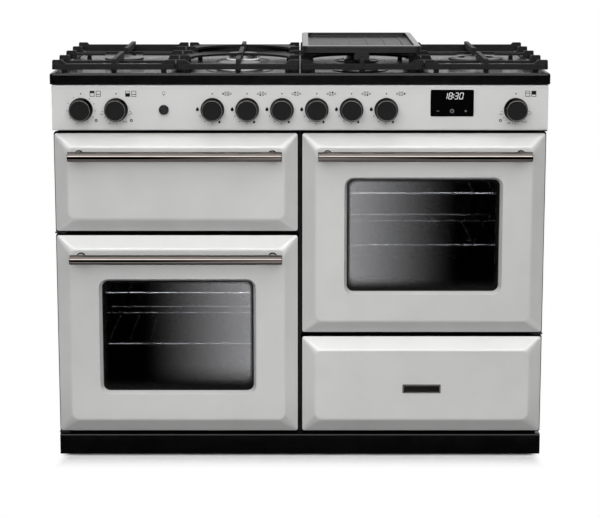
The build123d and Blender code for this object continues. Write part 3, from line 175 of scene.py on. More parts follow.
# %% Enamels, sheet paint and plastics
def mottled_finish(name, dark, light, tone, roughness, patch, relief=None, specular=0.5):
    """Colour noise is `tone` mm across, gloss noise `patch` mm; `relief` is (mm across, mm deep)."""
    material, tree, shader, place = new_material(name)
    mottle = add_node(tree, "TexNoise", {"Vector": place, "Scale": 1 / (tone * MM), "Detail": 3.0})
    add_node(tree, "ValToRGB", [mottle], shader.inputs["Base Color"],
             stops=[(NOISE_LOW, dark), (NOISE_HIGH, light)])
    cloud = add_node(tree, "TexNoise", {"Vector": place, "Scale": 1 / (patch * MM), "Detail": 3.0})
    add_node(tree, "MapRange", [cloud, NOISE_LOW, NOISE_HIGH, *roughness], shader.inputs["Roughness"])
    shader.inputs["Specular IOR Level"].default_value = specular
    if relief:
        across, deep = relief
        grain = add_node(tree, "TexNoise", {"Vector": place, "Scale": 1 / (across * MM), "Detail": 2.0})
        add_node(tree, "Bump", {"Height": grain, "Distance": deep * MM}, shader.inputs["Normal"])
    return material


dress(mottled_finish("gloss_black_enamel", "#060607", "#0A0A0B", 50, (0.14, 0.22), 20, specular=0.2),
      "hob_tray", "plinth")
dress(mottled_finish("black_sheet_paint", "#101011", "#161617", 40, (0.34, 0.48), 20, (3.0, 0.04), 0.25),
      "front_frame", "hinge_brackets", "side_panels")
dress(mottled_finish("satin_black_cap_enamel", "#1A1A1B", "#232324", 12, (0.30, 0.42), 8, (1.2, 0.05)),
      "burner_caps")
dress(mottled_finish("black_display_lens", "#050506", "#070708", 10, (0.04, 0.08), 10, (10.0, 0.003)),
      "clock_display")
dress(mottled_finish("black_knob_plastic", "#0A0A0A", "#0F0F0F", 0.6, (0.25, 0.34), 10, (0.6, 0.018)),
      "light_button")
dress(mottled_finish("terminal_box_plastic", "#C4C3BE", "#CFCEC9", 0.6, (0.4, 0.5), 10, (0.6, 0.018)),
      "terminal_box")
dress(mottled_finish("foot_nylon", "#141414", "#1C1C1C", 0.6, (0.5, 0.6), 10, (0.6, 0.018)), "levelling_feet")

# %% [markdown]
# Ovens are lined with a dark vitreous enamel full of pale flecks, which hide baked-on spots. A Voronoi
# pattern scatters one point in each cell, and the colour follows the distance to the nearest point, so every
# point becomes a small round fleck.

# %% Speckled oven enamel
FLECK_SPACING = 6 * MM


def speckled_oven_enamel():
    material, tree, shader, place = new_material("speckled_oven_enamel")
    cells = add_node(tree, "TexVoronoi", {"Vector": place, "Scale": 1 / FLECK_SPACING}, feature="F1")
    add_node(tree, "ValToRGB", [cells.outputs["Distance"]], shader.inputs["Base Color"],
             stops=[(0.0, "#4C4D50"), (0.1, "#17171A"), (0.18, "#0D0D0F")])
    cloud = add_node(tree, "TexNoise", {"Vector": place, "Scale": 1 / (30 * MM), "Detail": 3.0})
    add_node(tree, "MapRange", [cloud, NOISE_LOW, NOISE_HIGH, 0.22, 0.36], shader.inputs["Roughness"])
    skin = add_node(tree, "TexNoise", {"Vector": place, "Scale": 1 / (4 * MM), "Detail": 2.0})
    add_node(tree, "Bump", {"Height": skin, "Distance": 0.08 * MM}, shader.inputs["Normal"])
    return material


dress(speckled_oven_enamel(), "left_oven_cavity", "right_oven_cavity", "grill_cavity", "fan_covers",
      "grill_pan", "left_door_liner", "right_door_liner", "grill_door_liner")

# %% [markdown]
# The pan supports are sand cast and then enamelled matt black. A casting has a coarse skin: lumps four or
# five millimetres across with grains of about one on them. The two noises are added for the relief; the
# lumps are a little paler at their tops, and the grains change the roughness.

# %% Cast pan supports
def matt_cast_iron():
    material, tree, shader, place = new_material("matt_enamelled_cast_iron")
    lumps = add_node(tree, "TexNoise", {"Vector": place, "Scale": 1 / (4.5 * MM), "Detail": 3.0})
    grains = add_node(tree, "TexNoise", {"Vector": place, "Scale": 1 / (1.1 * MM), "Detail": 2.0})
    add_node(tree, "ValToRGB", [lumps], shader.inputs["Base Color"],
             stops=[(0.35, "#0B0B0C"), (0.65, "#141415")])
    add_node(tree, "MapRange", [grains, NOISE_LOW, NOISE_HIGH, 0.46, 0.64], shader.inputs["Roughness"])
    shader.inputs["Specular IOR Level"].default_value = 0.12
    relief = add_node(tree, "Math", [lumps, grains], operation="ADD")
    add_node(tree, "Bump", {"Height": relief, "Distance": 0.22 * MM, "Strength": 0.8},
             shader.inputs["Normal"])
    return material


dress(matt_cast_iron(), "left_pan_support", "centre_left_pan_support", "centre_right_pan_support",
      "right_pan_support")

# %% [markdown]
# The griddle is cast as well, and seasoned with oil. Its rim is ground along the flat top, so it is smoother
# there and mirrors the pale backdrop, while the plate stays dark. The ground face is found by its height.

# %% Seasoned griddle
GROUND_TOP = 0.6 * MM                   # how far below the griddle's highest point the ground face counts


def seasoned_griddle():
    material, tree, shader, place = new_material("seasoned_griddle_iron")
    height = add_node(tree, "SeparateXYZ", [place]).outputs["Z"]
    rim = add_node(tree, "Math", [height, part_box("griddle")[1].z - GROUND_TOP], operation="GREATER_THAN")
    grains = add_node(tree, "TexNoise", {"Vector": place, "Scale": 1 / (2.2 * MM), "Detail": 3.0})
    add_node(tree, "ValToRGB", [grains], shader.inputs["Base Color"],
             stops=[(0.35, "#1B1B1C"), (0.65, "#262627")])
    cloud = add_node(tree, "TexNoise", {"Vector": place, "Scale": 1 / (30 * MM), "Detail": 3.0})
    skin = add_node(tree, "MapRange", [cloud, NOISE_LOW, NOISE_HIGH, 0.34, 0.4])
    add_node(tree, "Math", [rim, -0.22, skin], shader.inputs["Roughness"], operation="MULTIPLY_ADD")
    add_node(tree, "MapRange", [rim, 0.0, 1.0, 0.12, 0.7], shader.inputs["Specular IOR Level"])
    add_node(tree, "Bump", {"Height": grains, "Distance": 0.01 * MM, "Strength": 0.5},
             shader.inputs["Normal"])
    return material


dress(seasoned_griddle(), "griddle")

# %% [markdown]
# Handles, knob rings and badge are black nickel, a dark plated metal with a slightly warm highlight. The
# shelves are bright chromed wire and the burners pale cast alloy. Heat has left the heater tubes and the fans
# dull and dark, and the gas rail is yellow brass. Worked metal keeps fine lines along the way it was drawn or
# turned, so one noise, stretched along that way, changes tone, roughness and relief together. Real lines are
# finer than a pixel here, so they are drawn at 0.7 mm to show.

# %% Plated and bare metals
LINE_GRAIN = 0.7


def worked_metal(name, dark, light, roughness, along=(1, 1, 1), grain=LINE_GRAIN, metallic=1.0):
    """Noise of `grain` mm, drawn out by the factors in `along` on each axis."""
    material, tree, shader, place = new_material(name)
    drawn = add_node(tree, "Mapping", {"Vector": place, "Scale": [1 / stretch for stretch in along]})
    lines = add_node(tree, "TexNoise", {"Vector": drawn, "Scale": 1 / (grain * MM), "Detail": 2.0})
    add_node(tree, "ValToRGB", [lines], shader.inputs["Base Color"],
             stops=[(NOISE_LOW, dark), (NOISE_HIGH, light)])
    add_node(tree, "MapRange", [lines, NOISE_LOW, NOISE_HIGH, *roughness], shader.inputs["Roughness"])
    add_node(tree, "Bump", {"Height": lines, "Distance": 0.01 * MM, "Strength": 0.5}, shader.inputs["Normal"])
    shader.inputs["Metallic"].default_value = metallic
    return material


dress(worked_metal("black_nickel_tube", "#504B48", "#5C5753", (0.04, 0.07), (40, 1, 1)),
      "left_door_handle", "right_door_handle", "grill_door_handle")
dress(worked_metal("badge_black_nickel", "#171615", "#211F1E", (0.2, 0.3), (40, 1, 1)), "drawer_badge")
dress(worked_metal("chromed_wire", "#C6C6C6", "#D2D2D2", (0.16, 0.2), (30, 30, 1)),
      "oven_shelves", "shelf_ladders")
dress(worked_metal("cast_burner_alloy", "#8E8E8E", "#ABABAB", (0.3, 0.45), (1, 1, 4), 2.0),
      "burner_cups", "burner_crowns")
dress(worked_metal("heater_tube", "#3B3734", "#55504B", (0.4, 0.55), (1, 8, 1)), "heating_elements")
dress(worked_metal("heat_stained_steel", "#1C1B1A", "#262422", (0.5, 0.65), grain=10.0),
      "left_oven_fan", "right_oven_fan")
dress(worked_metal("gas_brass", "#8C7440", "#A98D52", (0.3, 0.42), (20, 1, 1)), "gas_manifold")

# %% [markdown]
# The skirt of a knob is seen at a glancing angle, where bare metal would mirror the bright ceiling. Black
# nickel stays dark there, which the shader's specular tint gives. A bright bead goes round each knob's face
# later, and a line of the same plating round the badge. The shader mixes metal and plain reflection half and
# half there, so the line stays grey even where a mirror would show the dark part of the room.

# %% Knob rings and bright plating
knob_names = [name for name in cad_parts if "knob" in name]
ring_nickel = worked_metal("black_nickel_ring", "#171615", "#1F1D1C", (0.28, 0.36))
ring_nickel.node_tree.nodes["Principled BSDF"].inputs["Specular Tint"].default_value = linear("#808080")
dress(ring_nickel, *knob_names)
bright_nickel = worked_metal("bright_nickel_bead", "#75726E", "#817E7A", (0.35, 0.42), metallic=0.5)
print(bright_nickel.name, "is kept for the beads")

# %% [markdown]
# The back, the base, the drawer box and the hidden metalwork are galvanised sheet. Zinc freezes on the steel
# in flat crystals, the spangles, each with its own grey. A Voronoi pattern gives every cell one random value,
# and that value sets the tone and the gloss of the spangle.

# %% Galvanised sheet
SPANGLE = 18 * MM


def zinc_sheet():
    material, tree, shader, place = new_material("galvanised_sheet")
    cells = add_node(tree, "TexVoronoi", {"Vector": place, "Scale": 1 / SPANGLE}, feature="F1")
    spangle = add_node(tree, "SeparateColor", [cells.outputs["Color"]])
    add_node(tree, "ValToRGB", [spangle], shader.inputs["Base Color"],
             stops=[(0.0, "#A6A8AA"), (1.0, "#B2B4B6")])
    add_node(tree, "MapRange", [spangle, NOISE_LOW, NOISE_HIGH, 0.4, 0.46], shader.inputs["Roughness"])
    shader.inputs["Metallic"].default_value = 0.55
    return material


dress(zinc_sheet(), "back_panel", "base_pan", "drawer_box", "drawer_rails", "drawer_slides", "oven_controls",
      "fan_motors")

# %% [markdown]
# The oven windows are tinted panes with a heat-reflecting coating. From the room they are mostly a
# reflection, with the shelves just showing through. Principled glass would bend and dim the view, so the
# finish mixes a clear grey pane with a mirror, and Fresnel sets the share of the mirror. Its index is 1.9
# instead of 1.5, because the coating reflects more than bare glass.

# %% Oven glass
COATED_GLASS_INDEX = 1.9


def tinted_oven_glass():
    material, tree, _, place = new_material("tinted_oven_glass")
    pane = add_node(tree, "BsdfTransparent", {"Color": linear("#E2E2E4")})
    wipe = add_node(tree, "TexNoise", {"Vector": place, "Scale": 1 / (40 * MM), "Detail": 3.0})
    smear = add_node(tree, "MapRange", [wipe, NOISE_LOW, NOISE_HIGH, 0.02, 0.05])
    mirror = add_node(tree, "BsdfGlossy", {"Color": linear("#FFFFFF"), "Roughness": smear})
    share = add_node(tree, "Fresnel", {"IOR": COATED_GLASS_INDEX})
    add_node(tree, "MixShader", [share, pane, mirror], tree.nodes["Material Output"].inputs["Surface"])
    return material


dress(tinted_oven_glass(), "left_door_glazing", "right_door_glazing")

# %% [markdown]
# Two small finishes are left. The door seal is a plaited tube of glass fibre, whose plaits are diagonal bands
# about four millimetres apart, and the oven lamp has a frosted glass cover.

# %% Seal and lamp cover
def woven_seal():
    material, tree, shader, place = new_material("woven_glass_fibre_seal")
    weave = add_node(tree, "TexWave", {"Vector": place, "Scale": 1 / (6 * MM), "Distortion": 1.0},
                     wave_type="BANDS", bands_direction="DIAGONAL").outputs["Fac"]
    add_node(tree, "ValToRGB", [weave], shader.inputs["Base Color"],
             stops=[(0.2, "#1B1B1B"), (0.8, "#2E2E2E")])
    shader.inputs["Roughness"].default_value = 0.85
    add_node(tree, "Bump", {"Height": weave, "Distance": 0.4 * MM, "Strength": 0.7}, shader.inputs["Normal"])
    return material


def lamp_glass():
    material, tree, shader, place = new_material("lamp_glass")
    shader.inputs["Base Color"].default_value = linear("#F4F1E6")
    frost = add_node(tree, "TexNoise", {"Vector": place, "Scale": 1 / (4 * MM), "Detail": 3.0})
    add_node(tree, "MapRange", [frost, NOISE_LOW, NOISE_HIGH, 0.08, 0.2], shader.inputs["Roughness"])
    shader.inputs["Transmission Weight"].default_value = 0.6
    return material


dress(woven_seal(), "oven_seals")
dress(lamp_glass(), "oven_lamps")
print("dressed", len(dressed), "of", len(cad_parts), "nodes")

# %% [markdown]
# Everything printed on the fascia is thin ink: dots and flames round the gas knobs, small plans of the hob
# that show which burner a knob feeds, box symbols for the ovens, and plain temperature numbers. Screen
# printing lays the ink in one flat layer, so all marks are flat shapes. Each helper returns an outline as
# an array of points in millimetres, across and up.

# %% Flat printed shapes
def disc(x, z, radius, steps=20):
    """A filled circle: points at equal angles."""
    turn = np.linspace(0, 2 * np.pi, steps, endpoint=False)
    return np.stack([x + radius * np.cos(turn), z + radius * np.sin(turn)], 1)


def bar(x, z, width, height, turn=0.0):
    """A filled rectangle about a centre, turned clockwise by `turn` degrees."""
    corner = np.array([[-1, -1], [1, -1], [1, 1], [-1, 1]]) * (width / 2, height / 2)
    c, s = np.cos(np.radians(turn)), np.sin(np.radians(turn))
    return corner @ np.array([[c, -s], [s, c]]) + (x, z)


def flame(x, z, width, height, steps=24):
    """A drop with its tip up: sideways sin(t)·sin(t/2), which is 0.77 at its widest, upwards cos(t)."""
    t = np.linspace(0, 2 * np.pi, steps, endpoint=False)
    across = np.sin(t) * np.sin(t / 2) / 0.77
    return np.stack([x - width / 2 * across, z + height / 2 * np.cos(t)], 1)


def frame_lines(x, z, width, height, line):
    """Four thin bars that make an empty box."""
    across, up = width / 2 - line / 2, height / 2 - line / 2
    return [bar(x, z + up, width, line), bar(x, z - up, width, line),
            bar(x - across, z, line, height), bar(x + across, z, line, height)]


def ring_lines(x, z, radius, line, steps=24):
    """A thin ring of short straight bars, each a little longer than its share so that they meet."""
    turn = np.linspace(0, 2 * np.pi, steps, endpoint=False)
    length = 2.2 * radius * np.sin(np.pi / steps)
    return [bar(x + radius * np.sin(t), z + radius * np.cos(t), length, line, np.degrees(t)) for t in turn]


print("a flame has", len(flame(0, 0, 7, 10)), "points, a small ring", len(ring_lines(0, 0, 2, 1)), "bars")

# %% [markdown]
# One function gathers the outlines into one mesh, just in front of the panel, and makes it ride on a body of
# the frame, so that it moves as the print on the real piece does. Figures are set as type, turned into a mesh
# and read back as outlines, which keeps one way of making print for all of it.

# %% Gather shapes into a piece
INK_GAP = 0.2 * MM


def add_piece(name, mesh, body):
    """Links a finished mesh as an object at the origin that rides on a body."""
    piece = bpy.data.objects.new(name, mesh)
    bpy.context.scene.collection.objects.link(piece)
    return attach(piece, body)


def flat_piece(name, outlines, y, material, body):
    """Every outline becomes one face at depth y, facing the viewer, and all of them make one mesh."""
    counts = np.array([len(outline) for outline in outlines])
    points = np.concatenate(outlines) * MM
    vertices = np.stack([points[:, 0], np.full(len(points), y), points[:, 1]], 1)
    starts = np.cumsum(counts) - counts
    faces = [tuple(range(first, first + count)) for first, count in zip(starts, counts)]
    mesh = bpy.data.meshes.new(name)
    mesh.from_pydata(vertices.tolist(), [], faces)
    mesh.materials.append(material)
    print(name, "has", len(outlines), "shapes")
    return add_piece(name, mesh, body)


def dial_number(text, x, z, height):
    """A plain number as flat faces: set as type, made a mesh, then scaled to its height and placed."""
    curve = bpy.data.curves.new("number", "FONT")
    curve.body = text
    curve.align_x, curve.align_y = "CENTER", "CENTER"
    curve.resolution_u = 2
    writer = bpy.data.objects.new("number", curve)
    mesh = bpy.data.meshes.new_from_object(writer)
    flat = np.zeros(len(mesh.vertices) * 3)
    mesh.vertices.foreach_get("co", flat)
    points = flat.reshape(-1, 3)[:, :2] * height / 0.7 + (x, z)      # type of size 1 is 0.7 high
    shapes = [points[list(face.vertices)] for face in mesh.polygons]
    bpy.data.objects.remove(writer)
    bpy.data.curves.remove(curve)
    bpy.data.meshes.remove(mesh)
    return shapes


print("ink lies", INK_GAP / MM, "mm in front of its panel")

# %% [markdown]
# The places of the knobs are measured on the CAD itself, so the print always sits round its knob. Angles go
# clockwise from the top, as on a clock. A gas knob has a large flame on its left for full heat, three dots, a
# small flame for low heat, and above it a plan of six burners with its own one filled.

# %% Marks of the gas knobs
def centre_of(node):
    """Middle of a node seen from the front, in millimetres."""
    low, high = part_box(node)
    return (low.x + high.x) / 2 / MM, (low.z + high.z) / 2 / MM


def around(centre, radius, angle):
    """The point at a clock angle on a circle."""
    turn = math.radians(angle)
    return centre[0] + radius * math.sin(turn), centre[1] + radius * math.cos(turn)


PRINT_ROW = centre_of("gas_knob_1")[1] + 35.0      # height of the dots and symbols above the knobs
DIAL = 31.0                                        # radius of the ring of marks
DOT = 1.6
PLAN_ASIDE = 32.0                                  # the plan's middle is this far right of its knob
BURNERS = [(-8.2, 0.0), (-2.9, -2.7), (-2.9, 2.7), (2.9, 2.7), (2.9, -2.7), (8.2, 0.0)]
OWN_BURNER, OTHER_BURNER, BURNER_LINE = 2.1, 1.7, 0.95
FULL_ANGLE, DOT_ANGLES, LOW_ANGLE = 272, (242, 212, 182), 151
FULL_FLAME, LOW_FLAME, HEAT_DOT = (7.0, 9.6), (5.0, 6.4), 1.2      # flames as width and height
FULL_OUT = 2.0                                     # the large flame stands this much further out

marks = []
for own in range(len(BURNERS)):
    centre = centre_of(f"gas_knob_{own + 1}")
    marks.append(disc(centre[0], PRINT_ROW, DOT))
    marks.append(flame(*around(centre, DIAL + FULL_OUT, FULL_ANGLE), *FULL_FLAME))
    marks += [disc(*around(centre, DIAL, angle), HEAT_DOT) for angle in DOT_ANGLES]
    marks.append(flame(*around(centre, DIAL, LOW_ANGLE), *LOW_FLAME))
    for place, (across, up) in enumerate(BURNERS):
        x, z = centre[0] + PLAN_ASIDE + across, PRINT_ROW + up
        empty = ring_lines(x, z, OTHER_BURNER, BURNER_LINE, steps=12)
        marks += [disc(x, z, OWN_BURNER)] if place == own else empty
print("gas knobs:", len(marks), "shapes")

# %% [markdown]
# The grill and oven knobs have ticks round them, and the ovens plain temperature numbers as well. Each also
# has a pair of small boxes that stand for the upper and lower heat, and a ring for the fan. The light button
# has a bulb over it.

# %% Marks of the oven knobs and the light
OVEN_TICKS = (98, 112, 138, 150, 180, 192, 222, 236, 262)
TICKS = {"grill_knob": (38, 66, 95, 123, 152, 198, 232, 265, 297, 329), "left_oven_knob": OVEN_TICKS,
         "right_oven_knob": OVEN_TICKS}
TEMPERATURES = (("50", 105), ("100", 144), ("150", 207), ("200", 252))
TICK, FIGURE_OUT, FIGURE_HEIGHT = (1.2, 3.0), 3.2, 3.8             # figures stand outside the ring of ticks
BOX_WIDTH, BOX_HEIGHT, BOX_GAP, BOX_LINE, FILL_INSET = 10.4, 13.0, 3.2, 1.1, 0.2
FAN_RING, FAN_LINE, FAN_ASIDE, FAN_DROP = 2.4, 1.8, 33.0, 24.0
BULB_RISE, BULB_RADIUS, BULB_LINE = 1.5, 3.1, 0.7
BULB_BASE, BASE_DROPS = 2.8, (3.9, 5.4)


def box_pair(node, aside, fills):
    """Two boxes beside the dot; each fill is a (from, to) part of the box's height."""
    shapes = []
    for place, (low, high) in enumerate(fills):
        x = centre_of(node)[0] + aside + place * (BOX_WIDTH + BOX_GAP) + BOX_WIDTH / 2
        shapes += frame_lines(x, PRINT_ROW, BOX_WIDTH, BOX_HEIGHT, BOX_LINE)
        middle = PRINT_ROW + BOX_HEIGHT * ((low + high) / 2 - 0.5)
        shapes.append(bar(x, middle, BOX_WIDTH - 2 * FILL_INSET, BOX_HEIGHT * (high - low)))
    return shapes


for node, angles in TICKS.items():
    centre = centre_of(node)
    marks.append(disc(centre[0], PRINT_ROW, DOT))
    marks += [bar(*around(centre, DIAL, angle), *TICK, angle) for angle in angles]
    for text, angle in TEMPERATURES if angles == OVEN_TICKS else ():
        marks += dial_number(text, *around(centre, DIAL + FIGURE_OUT, angle), FIGURE_HEIGHT)
marks += box_pair("grill_knob", 20.0, [(0.6, 0.98), (0.34, 0.44)])
marks += box_pair("left_oven_knob", 20.5, [(0.04, 0.6), (0.34, 0.44)])
marks += box_pair("right_oven_knob", 20.5, [(0.56, 0.66), (0.36, 0.98)])
for node, side in (("grill_knob", 1), ("left_oven_knob", 1), ("right_oven_knob", -1)):
    centre = centre_of(node)
    marks += ring_lines(centre[0] + side * FAN_ASIDE, centre[1] - FAN_DROP, FAN_RING, FAN_LINE)
bulb = (centre_of("light_button")[0], PRINT_ROW + BULB_RISE)
marks += ring_lines(*bulb, BULB_RADIUS, BULB_LINE)
marks += [bar(bulb[0], bulb[1] - drop, BULB_BASE, BULB_LINE) for drop in BASE_DROPS]
print("all knobs:", len(marks), "shapes")

# %% [markdown]
# Screen ink dries to a thin film that hardly shines, so it looks flat and black on the satin paint, with a
# slightly uneven sheen. All the marks become one piece in it, fixed to the cabinet.

# %% Ink on the fascia
def printed_ink(name, code):
    """One colour, and noise two millimetres across in the roughness."""
    material, tree, shader, place = new_material(name)
    shader.inputs["Base Color"].default_value = linear(code)
    sheen = add_node(tree, "TexNoise", {"Vector": place, "Scale": 1 / (2 * MM), "Detail": 2.0})
    add_node(tree, "MapRange", [sheen, NOISE_LOW, NOISE_HIGH, 0.45, 0.6], shader.inputs["Roughness"])
    shader.inputs["Specular IOR Level"].default_value = 0.1
    return material


print_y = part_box("control_fascia")[0].y - INK_GAP
flat_piece("fascia_print", marks, print_y, printed_ink("black_print", "#070708"), "cabinet")

# %% [markdown]
# The clock is a black lens with lit seven-segment figures behind it. A segment is a long hexagon, and a
# figure is a choice of seven places for it. The row leans over a little, which is a shear: every point moves
# right in proportion to its height.

# %% Clock figures
SEGMENTS = {"top": (0, 1, 0), "upper_right": (1, 0.5, 90), "lower_right": (1, -0.5, 90),
            "bottom": (0, -1, 0), "lower_left": (-1, -0.5, 90), "upper_left": (-1, 0.5, 90),
            "middle": (0, 0, 0)}                   # across, up, turn
LIT = {"0": tuple(name for name in SEGMENTS if name != "middle"), "1": ("upper_right", "lower_right"),
       "3": ("top", "upper_right", "lower_right", "bottom", "middle"), "8": tuple(SEGMENTS)}
DIGIT_HALF = np.array([3.5, 6.7])
DIGIT_PLACES = (-17.4, -6.6, 6.6, 17.4)
SEGMENT_GAP = 0.5
STROKE = 1.2
COLON_DOT, COLON_PLACES = 1.15, ((0.2, -3.0), (0.2, 3.0))
LEAN = math.tan(math.radians(10))
FIGURE_ROW = (2.8, 15.8)                           # from the middle of the lens


def segment(x, z, length, turn):
    """A hexagon with pointed ends, turned upright when `turn` is 90."""
    half, tip = length / 2, STROKE / 2
    shape = np.array([[-half, 0], [tip - half, -tip], [half - tip, -tip],
                      [half, 0], [half - tip, tip], [tip - half, tip]])
    c, s = np.cos(np.radians(turn)), np.sin(np.radians(turn))
    return shape @ np.array([[c, s], [-s, c]]) + (x, z)


def figure(text, x):
    """The lit segments of one figure."""
    shapes = []
    for name in LIT[text]:
        across, up, turn = SEGMENTS[name]
        length = 2 * DIGIT_HALF[0] if turn == 0 else DIGIT_HALF[1]
        shapes.append(segment(x + across * DIGIT_HALF[0], up * DIGIT_HALF[1], length - SEGMENT_GAP, turn))
    return shapes


lens = np.array(centre_of("clock_display"))
clock = [shape for text, x in zip("1830", DIGIT_PLACES) for shape in figure(text, x)]
clock += [disc(*place, COLON_DOT) for place in COLON_PLACES]
clock = [shape + np.outer(shape[:, 1], (LEAN, 0)) + lens + FIGURE_ROW for shape in clock]
print("clock:", len(clock), "lit shapes")

# %% [markdown]
# Below the figures are three touch marks: a minus, a small clock face and a plus. Lit things need no light
# from the studio, so emission makes the figures glow white, and the touch marks glow less and greyer.

# %% Lit figures and touch marks
ICON_ROW, MINUS_AT, PLUS_AT = (0.0, -17.5), -31.0, 30.0
ICON_LENGTH, ICON_LINE, ICON_RING, HAND_LINE = 5.4, 0.9, 3.9, 0.8


def lit_segment(name, code, strength):
    """Emission between the colour and white, by noise three millimetres across."""
    material, tree, shader, place = new_material(name)
    shader.inputs["Base Color"].default_value = linear("#202020")
    tone = add_node(tree, "TexNoise", {"Vector": place, "Scale": 1 / (3 * MM), "Detail": 1.0})
    add_node(tree, "ValToRGB", [tone], shader.inputs["Emission Color"], stops=[(0.2, code), (0.8, "#FFFFFF")])
    shader.inputs["Emission Strength"].default_value = strength
    return material


lens_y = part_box("clock_display")[0].y - INK_GAP
flat_piece("clock_figures", clock, lens_y, lit_segment("lit_clock_figures", "#F4F6F8", 1.0), "cabinet")
minus = [bar(MINUS_AT, 0, ICON_LENGTH, ICON_LINE)]
plus = [bar(PLUS_AT, 0, ICON_LENGTH, ICON_LINE), bar(PLUS_AT, 0, ICON_LINE, ICON_LENGTH)]
hands = [bar(0, 1.0, HAND_LINE, 2.6), bar(0.9, 0, 2.2, HAND_LINE)]
icons = minus + plus + ring_lines(0, 0, ICON_RING, ICON_LINE) + hands
icons = [shape + lens + ICON_ROW for shape in icons]
flat_piece("clock_touch_marks", icons, lens_y, lit_segment("dim_touch_marks", "#8C8E90", 0.32), "cabinet")

# %% [markdown]
# The drawer carries a small dark plate. A plated plate of this kind has a bright line round its edge, made
# here as four thin flat bars on the plate's face.

# %% Badge border
BORDER_INSET, BORDER_LINE = 1.7, 0.9
plate_low, plate_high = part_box("drawer_badge")
plate_width = (plate_high.x - plate_low.x) / MM - 2 * BORDER_INSET
plate_height = (plate_high.z - plate_low.z) / MM - 2 * BORDER_INSET
border = frame_lines(*centre_of("drawer_badge"), plate_width, plate_height, BORDER_LINE)
flat_piece("badge_border", border, plate_low.y - INK_GAP / 2, bright_nickel, "drawer")

# %% [markdown]
# Each knob is a plated ring with a black face pressed into it and a bright bead round the face. The CAD gives
# the ring and its recess. Face and bead are grids of radius by angle round the knob's axis. One helper joins
# a grid of points with quads and merges the points that meet in the middle, and another places such a grid
# on its knob, so that it turns with it.

# %% Grids round a knob
def grid_mesh(name, points, material):
    """Quads over points (rows, columns, 3), with the last column joined to the first and doubles merged."""
    rows, columns = points.shape[:2]
    row, step = np.meshgrid(np.arange(rows - 1) * columns, np.arange(columns), indexing="ij")
    after = (step + 1) % columns
    quads = np.stack([row + step, row + after, row + columns + after, row + columns + step], 2)
    mesh = bpy.data.meshes.new(name)
    mesh.from_pydata(points.reshape(-1, 3).tolist(), [], quads.reshape(-1, 4).tolist())
    shape = bmesh.new()
    shape.from_mesh(mesh)
    bmesh.ops.remove_doubles(shape, verts=shape.verts, dist=0.001 * MM)
    shape.to_mesh(mesh)
    shape.free()
    mesh.materials.append(material)
    return mesh


def knob_piece(node, part, out, turn, forward, material):
    """A grid round the knob's axis: radius `out` at clock angle `turn`, `forward` mm before its front."""
    x0, z0 = centre_of(node)
    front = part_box(node)[0].y / MM
    x, z = x0 + out * np.sin(turn), z0 + out * np.cos(turn)
    mesh = grid_mesh(f"{node}_{part}", np.stack([x, front - forward + 0 * x, z], 2) * MM, material)
    mesh.shade_smooth()
    return add_piece(f"{node}_{part}", mesh, node)


print("knobs:", len(knob_names))

# %% [markdown]
# The face is gently dished, with a short groove near the rim that points to the marks. The groove is real
# relief: its depth is a product of soft steps across it and along it. The plastic is matt, so the face stays
# a plain dark disc from every side.

# %% Knob faces
FACE_RADIUS, FACE_RECESS, DISH = 20.6, 0.72, 0.1
GROOVE_HALF, GROOVE_FROM, GROOVE_TO, GROOVE_DEPTH = 1.4, 11.5, 19.2, 0.15
GROOVE_SIDE, GROOVE_END = 0.5, 0.6                 # widths of the groove's slopes


def knob_face(node, rings=30, steps=144):
    """A dish 1 - (r/R)² deep, with a groove where |x| is small and z is near the rim."""
    r = np.linspace(0, FACE_RADIUS, rings)[:, None]
    turn = np.linspace(0, 2 * np.pi, steps, endpoint=False)[None, :]
    x, z = r * np.sin(turn), r * np.cos(turn)
    ends = np.clip((z - GROOVE_FROM) / GROOVE_END, 0, 1) * np.clip((GROOVE_TO - z) / GROOVE_END, 0, 1)
    groove = np.clip((GROOVE_HALF - np.abs(x)) / GROOVE_SIDE, 0, 1) * ends
    depth = FACE_RECESS + DISH * (1 - (r / FACE_RADIUS) ** 2) + GROOVE_DEPTH * groove
    return knob_piece(node, "face", r, turn, -depth, face_black)


face_black = mottled_finish("black_knob_face", "#0B0B0B", "#101010", 0.6, (0.45, 0.55), 10, (0.6, 0.018), 0.1)
faces = [knob_face(node) for node in knob_names]
print("made", len(faces), "knob faces")

# %% [markdown]
# The bead is a thin raised line on the front of the ring. Its section is a half circle, flattened because it
# stands only a little proud, and carried round the knob's axis. Its foot is sunk into the ring, so that no
# gap shows.

# %% Knob beads
BEAD_RADIUS, BEAD_WIDTH, BEAD_RISE, BEAD_SUNK = 22.1, 1.0, 0.3, 0.05


def knob_bead(node, across=9, steps=96):
    """A flattened half circle, from the inner edge of the bead to the outer, carried round the axis."""
    bead = np.linspace(np.pi, 0, across)[:, None]
    turn = np.linspace(0, 2 * np.pi, steps, endpoint=False)[None, :]
    out = BEAD_RADIUS + BEAD_WIDTH / 2 * np.cos(bead)
    return knob_piece(node, "edge", out, turn, BEAD_RISE * np.sin(bead) - BEAD_SUNK, bright_nickel)


beads = [knob_bead(node) for node in knob_names]
print("made", len(beads), "beads of", len(beads[0].data.polygons), "faces")

# %% [markdown]
# The oven panes have a matt black print round their edge that fades out inwards. Its fade is painted shade:
# it takes the pane's reflection away near the recessed edge of the opening, most at the bottom. The border is
# a grid between the edge of the opening and a smaller outline, with the amount of ink kept on each point.

# %% Window borders
WINDOW_HALF = np.array([170.0, 127.0])             # half of the pressed opening in the door
WINDOW_RADIUS = 15.0
# The fade widths are painted shade, widest at the bottom, where the pane's reflection is lost.
FADE_SIDE, FADE_TOP, FADE_BOTTOM = 10.0, 8.0, 28.0
PANE_GAP = 0.15 * MM
INK_COVER = 0.92


